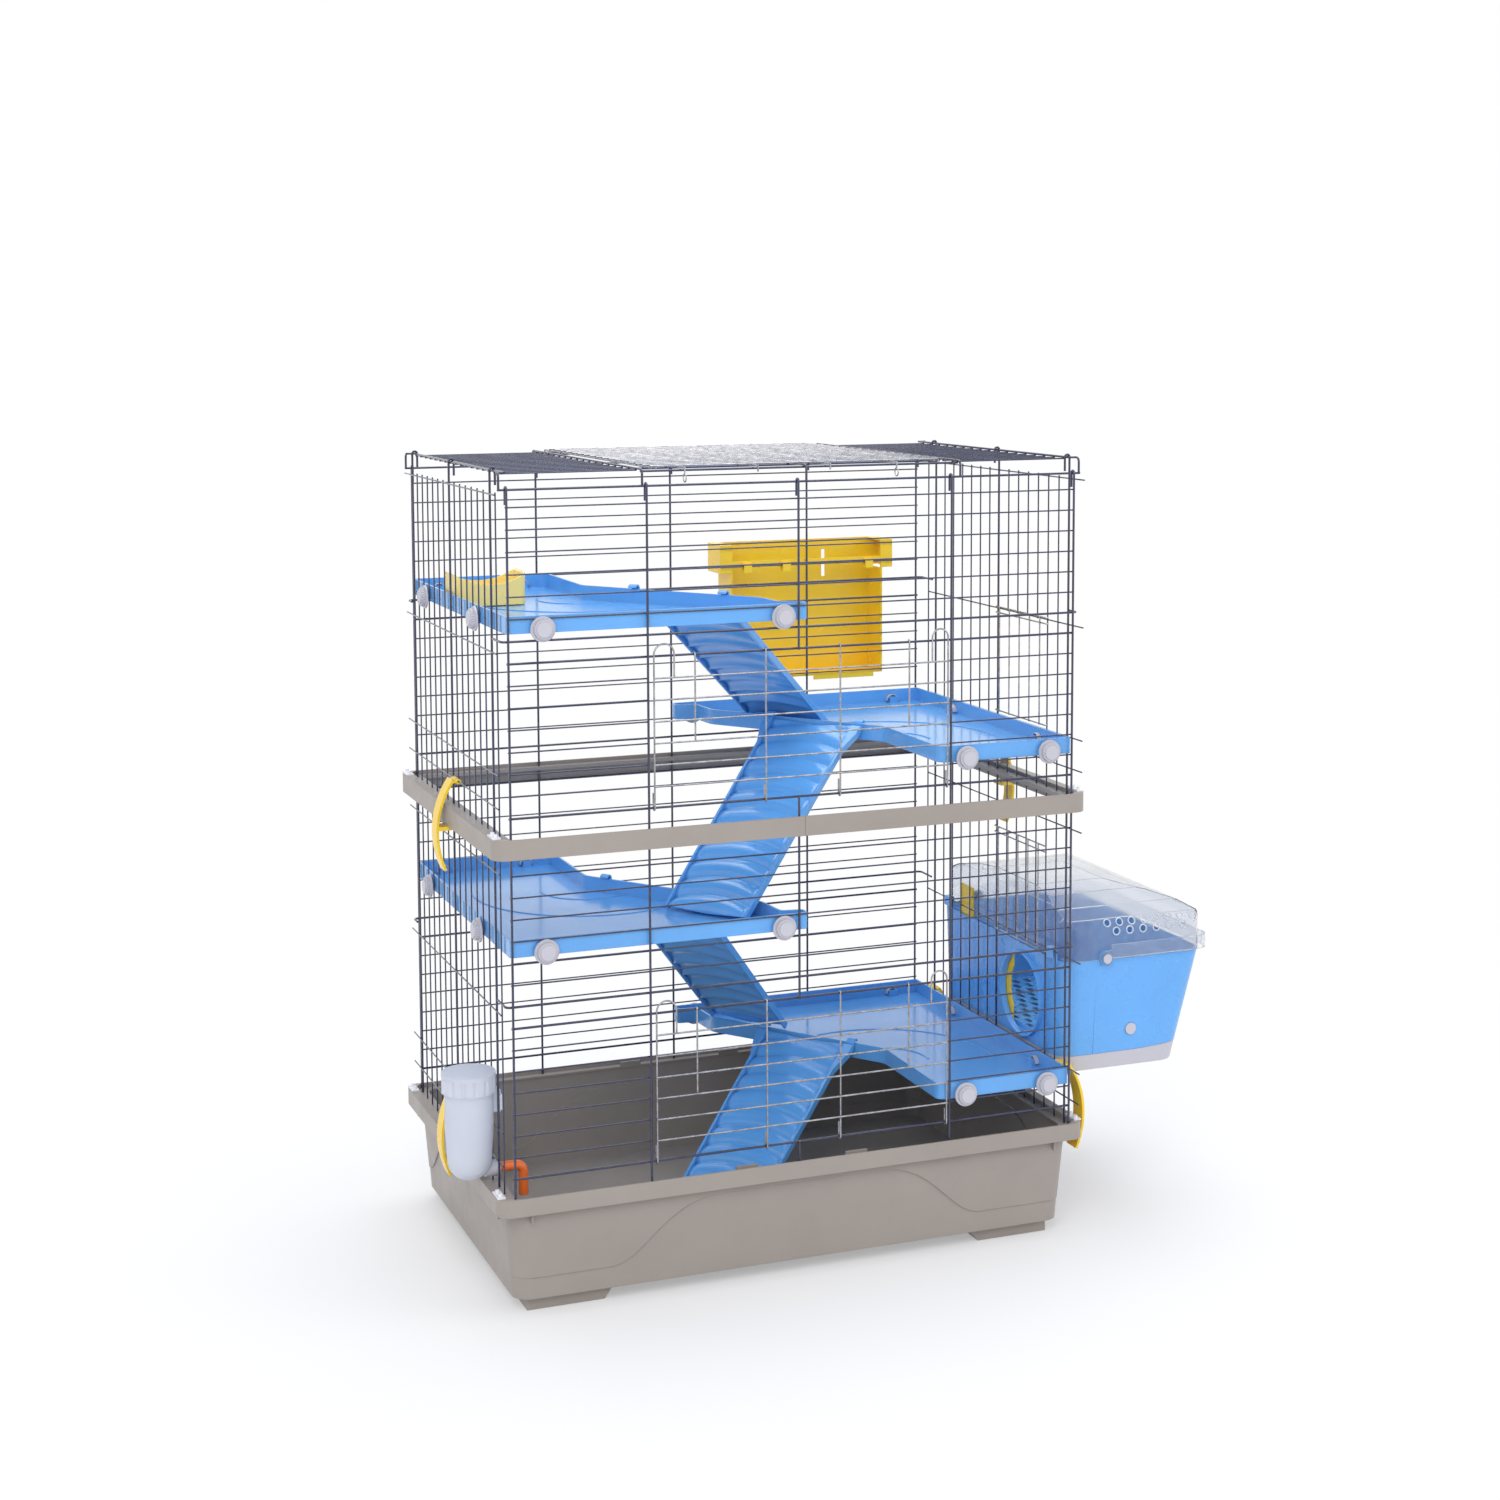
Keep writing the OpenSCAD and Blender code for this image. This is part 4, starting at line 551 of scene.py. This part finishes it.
def ramp_rail(side):
    rings = []
    for s in RAIL_STATIONS:
        outer, inner = side * ramp_half_width(s), side * ramp_inner(s)
        rings.append(
            [
                (s, inner, -RAMP_UNDER),
                (s, outer, -RAMP_UNDER),
                (s, outer, RAIL_TOP),
                (s, inner, RAIL_TOP),
            ]
        )
    return loft(rings)


def ramp_hook(side, tilt):
    """A curled lip over the shelf's rim, drawn in the ramp's tilted axes."""
    middle = side * (RAMP_TOP_W - HOOK_W) / 2
    y0, y1 = middle - HOOK_W / 2, middle + HOOK_W / 2
    # Each pair is the inner and the outer point of a section, first the foot under the ramp
    sections = [((HOOK_IN, HOOK_UNDER), (HOOK_FOOT, HOOK_UNDER))]
    for i in range(HOOK_STEPS + 1):
        angle = (HOOK_END + tilt) * i / HOOK_STEPS
        way = math.cos(angle), math.sin(angle)
        sections.append([[reach * w for w in way] for reach in (HOOK_IN, HOOK_OUT)])
    sections[1][1] = (HOOK_FOOT, HOOK_TOP)
    return loft(
        [
            [
                (inner[0], y0, inner[1]),
                (inner[0], y1, inner[1]),
                (outer[0], y1, outer[1]),
                (outer[0], y0, outer[1]),
            ]
            for inner, outer in sections
        ]
    )


def make_ramp(name, along, top, drop, on_the_right):
    tilt = math.asin(drop / RAMP_LENGTH)
    normal = Vector((math.sin(SHELF_SLOPE), math.cos(SHELF_SLOPE)))
    side_way = Vector((normal.y, -normal.x))
    rim = SHELF_CORNER.dot(normal) - RIM_AXIS
    start = normal * rim + side_way * along
    place = (
        Matrix.Translation(SHIFT)
        @ Matrix.Rotation(math.pi if on_the_right else 0, 4, "Z")
        @ Matrix.Scale(0.001, 4)
        @ Matrix.Translation((start.x, start.y, top))
        @ Matrix.Rotation(math.pi / 2 - SHELF_SLOPE, 4, "Z")
        @ Matrix.Rotation(tilt, 4, "Y")
    )
    plate = piece_from(name + "_treads", *tread_sheet(), name, name, place)
    thick = plate.modifiers.new("thickness", "SOLIDIFY")
    thick.thickness = TREAD_THICK
    thick.offset = -1
    parts = [ramp_rail(-1), ramp_rail(1), ramp_hook(-1, tilt), ramp_hook(1, tilt)]
    points, faces = join_lists(parts)
    rails = piece_from(name + "_rails", points, faces, name, name, place, smooth=False)
    bevel(rails, RAIL_EDGE)
    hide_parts(name)


# Small moulded details

CARRIER_X0, CARRIER_Y0, CARRIER_Y1, CARRIER_RIM = 0.3859, -0.205, 0.170, 0.357
# Height over the rim, holes, first and last place, how far the wall leans in there, its slope
VENT_ROWS = [
    (0.048, 8, 0.071, 0.202, 0.0072, 7 / 15),
    (0.037, 6, 0.083, 0.185, 0.00267, 1 / 6),
]
BEAD_RADIUS, BEAD_THICK, BEAD_AROUND, BEAD_SECTION = 0.0050, 0.0009, 20, 8

# Where the shelves take their studs, for the left wall: a place in millimetres and the way out
STUDS = [
    ((-335.15, -235.5), (0, -1)),
    ((-26, -235.5), (0, -1)),
    ((-345.15, 235.5), (0, 1)),
    ((-227, 235.5), (0, 1)),
    ((-379.15, 151.25), (-1, 0)),
    ((-379.15, -105.75), (-1, 0)),
]
# The top of each shelf, and 1 or -1 for the left or the right wall
SHELVES = [(226, -1), (470, 1), (668, -1), (862, 1)]
STUD_DROP = 16
BRIDGE_INNER, BRIDGE_OUTER, BRIDGE_STEPS = 0.0080, 0.0092, 14
BRIDGE_START, BRIDGE_DEPTH, BRIDGE_FLARE, BRIDGE_EDGE = 0.0031, 0.0055, 0.0006, 0.0003


def bead(centre, axis):
    """A round bead as (points, faces), in metres."""
    turn = Vector(axis).to_track_quat("Z", "Y").to_matrix()
    around, section = BEAD_AROUND, BEAD_SECTION
    points = []
    for i in range(around):
        a = 2 * math.pi * i / around
        for k in range(section):
            b = 2 * math.pi * k / section
            reach = BEAD_RADIUS + BEAD_THICK * math.cos(b)
            off = BEAD_THICK * math.sin(b)
            spot = Vector((reach * math.cos(a), reach * math.sin(a), off))
            points.append(Vector(centre) + turn @ spot)
    faces = [
        (
            i * section + k,
            (i + 1) % around * section + k,
            (i + 1) % around * section + (k + 1) % section,
            i * section + (k + 1) % section,
        )
        for i in range(around)
        for k in range(section)
    ]
    return points, faces


def make_vent_rims():
    """A raised bead round each air hole at both ends of the carrier's lid."""
    beads = []
    for height, count, first, last, lean, slope in VENT_ROWS:
        for i in range(count):
            x = CARRIER_X0 + first + i * (last - first) / (count - 1)
            for y, way in ((CARRIER_Y0 + lean, -1), (CARRIER_Y1 - lean, 1)):
                centre = Vector((x, y, CARRIER_RIM + height)) + SHIFT
                beads.append(bead(centre, (0, way, slope)))
    points, faces = join_lists(beads)
    piece_from("carrier_lid_vent_rims", points, faces, "bottle_lid", "carrier_lid")


def stud_bridge(centre, outward):
    """The arched bridge that spans a stud inside the shelf's rim."""
    inward = -Vector((*outward, 0))
    along = Vector((-inward.y, inward.x, 0))
    up = Vector((0, 0, 1))
    start = centre + inward * BRIDGE_START
    rings = []
    for i in range(BRIDGE_STEPS + 1):
        a = math.pi * i / BRIDGE_STEPS
        way = along * math.cos(a) + up * math.sin(a)
        flare = BRIDGE_FLARE * (1 - math.sin(a))
        back, front = -inward * flare, inward * (BRIDGE_DEPTH + flare)
        rings.append(
            [
                start + way * BRIDGE_INNER + back,
                start + way * BRIDGE_INNER + front,
                start + way * BRIDGE_OUTER + front,
                start + way * BRIDGE_OUTER + back,
            ]
        )
    return loft(rings)


def make_stud_bridges():
    bridges = []
    for top, side in SHELVES:
        for (x, y), way in STUDS:
            centre = Vector((side * x, side * y, top - STUD_DROP)) / 1000 + SHIFT
            bridges.append(stud_bridge(centre, (side * way[0], side * way[1])))
    points, faces = join_lists(bridges)
    name = "knob_stud_bridges"
    piece = piece_from(name, points, faces, "knob", "cage", smooth=False)
    bevel(piece, BRIDGE_EDGE)


make_camera()
make_world()
make_lights()
make_floor()
for node_name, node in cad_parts.items():
    dress(node, node_name)
for ramp_name, ramp in RAMPS.items():
    make_ramp(ramp_name, *ramp)
make_vent_rims()
make_stud_bridges()
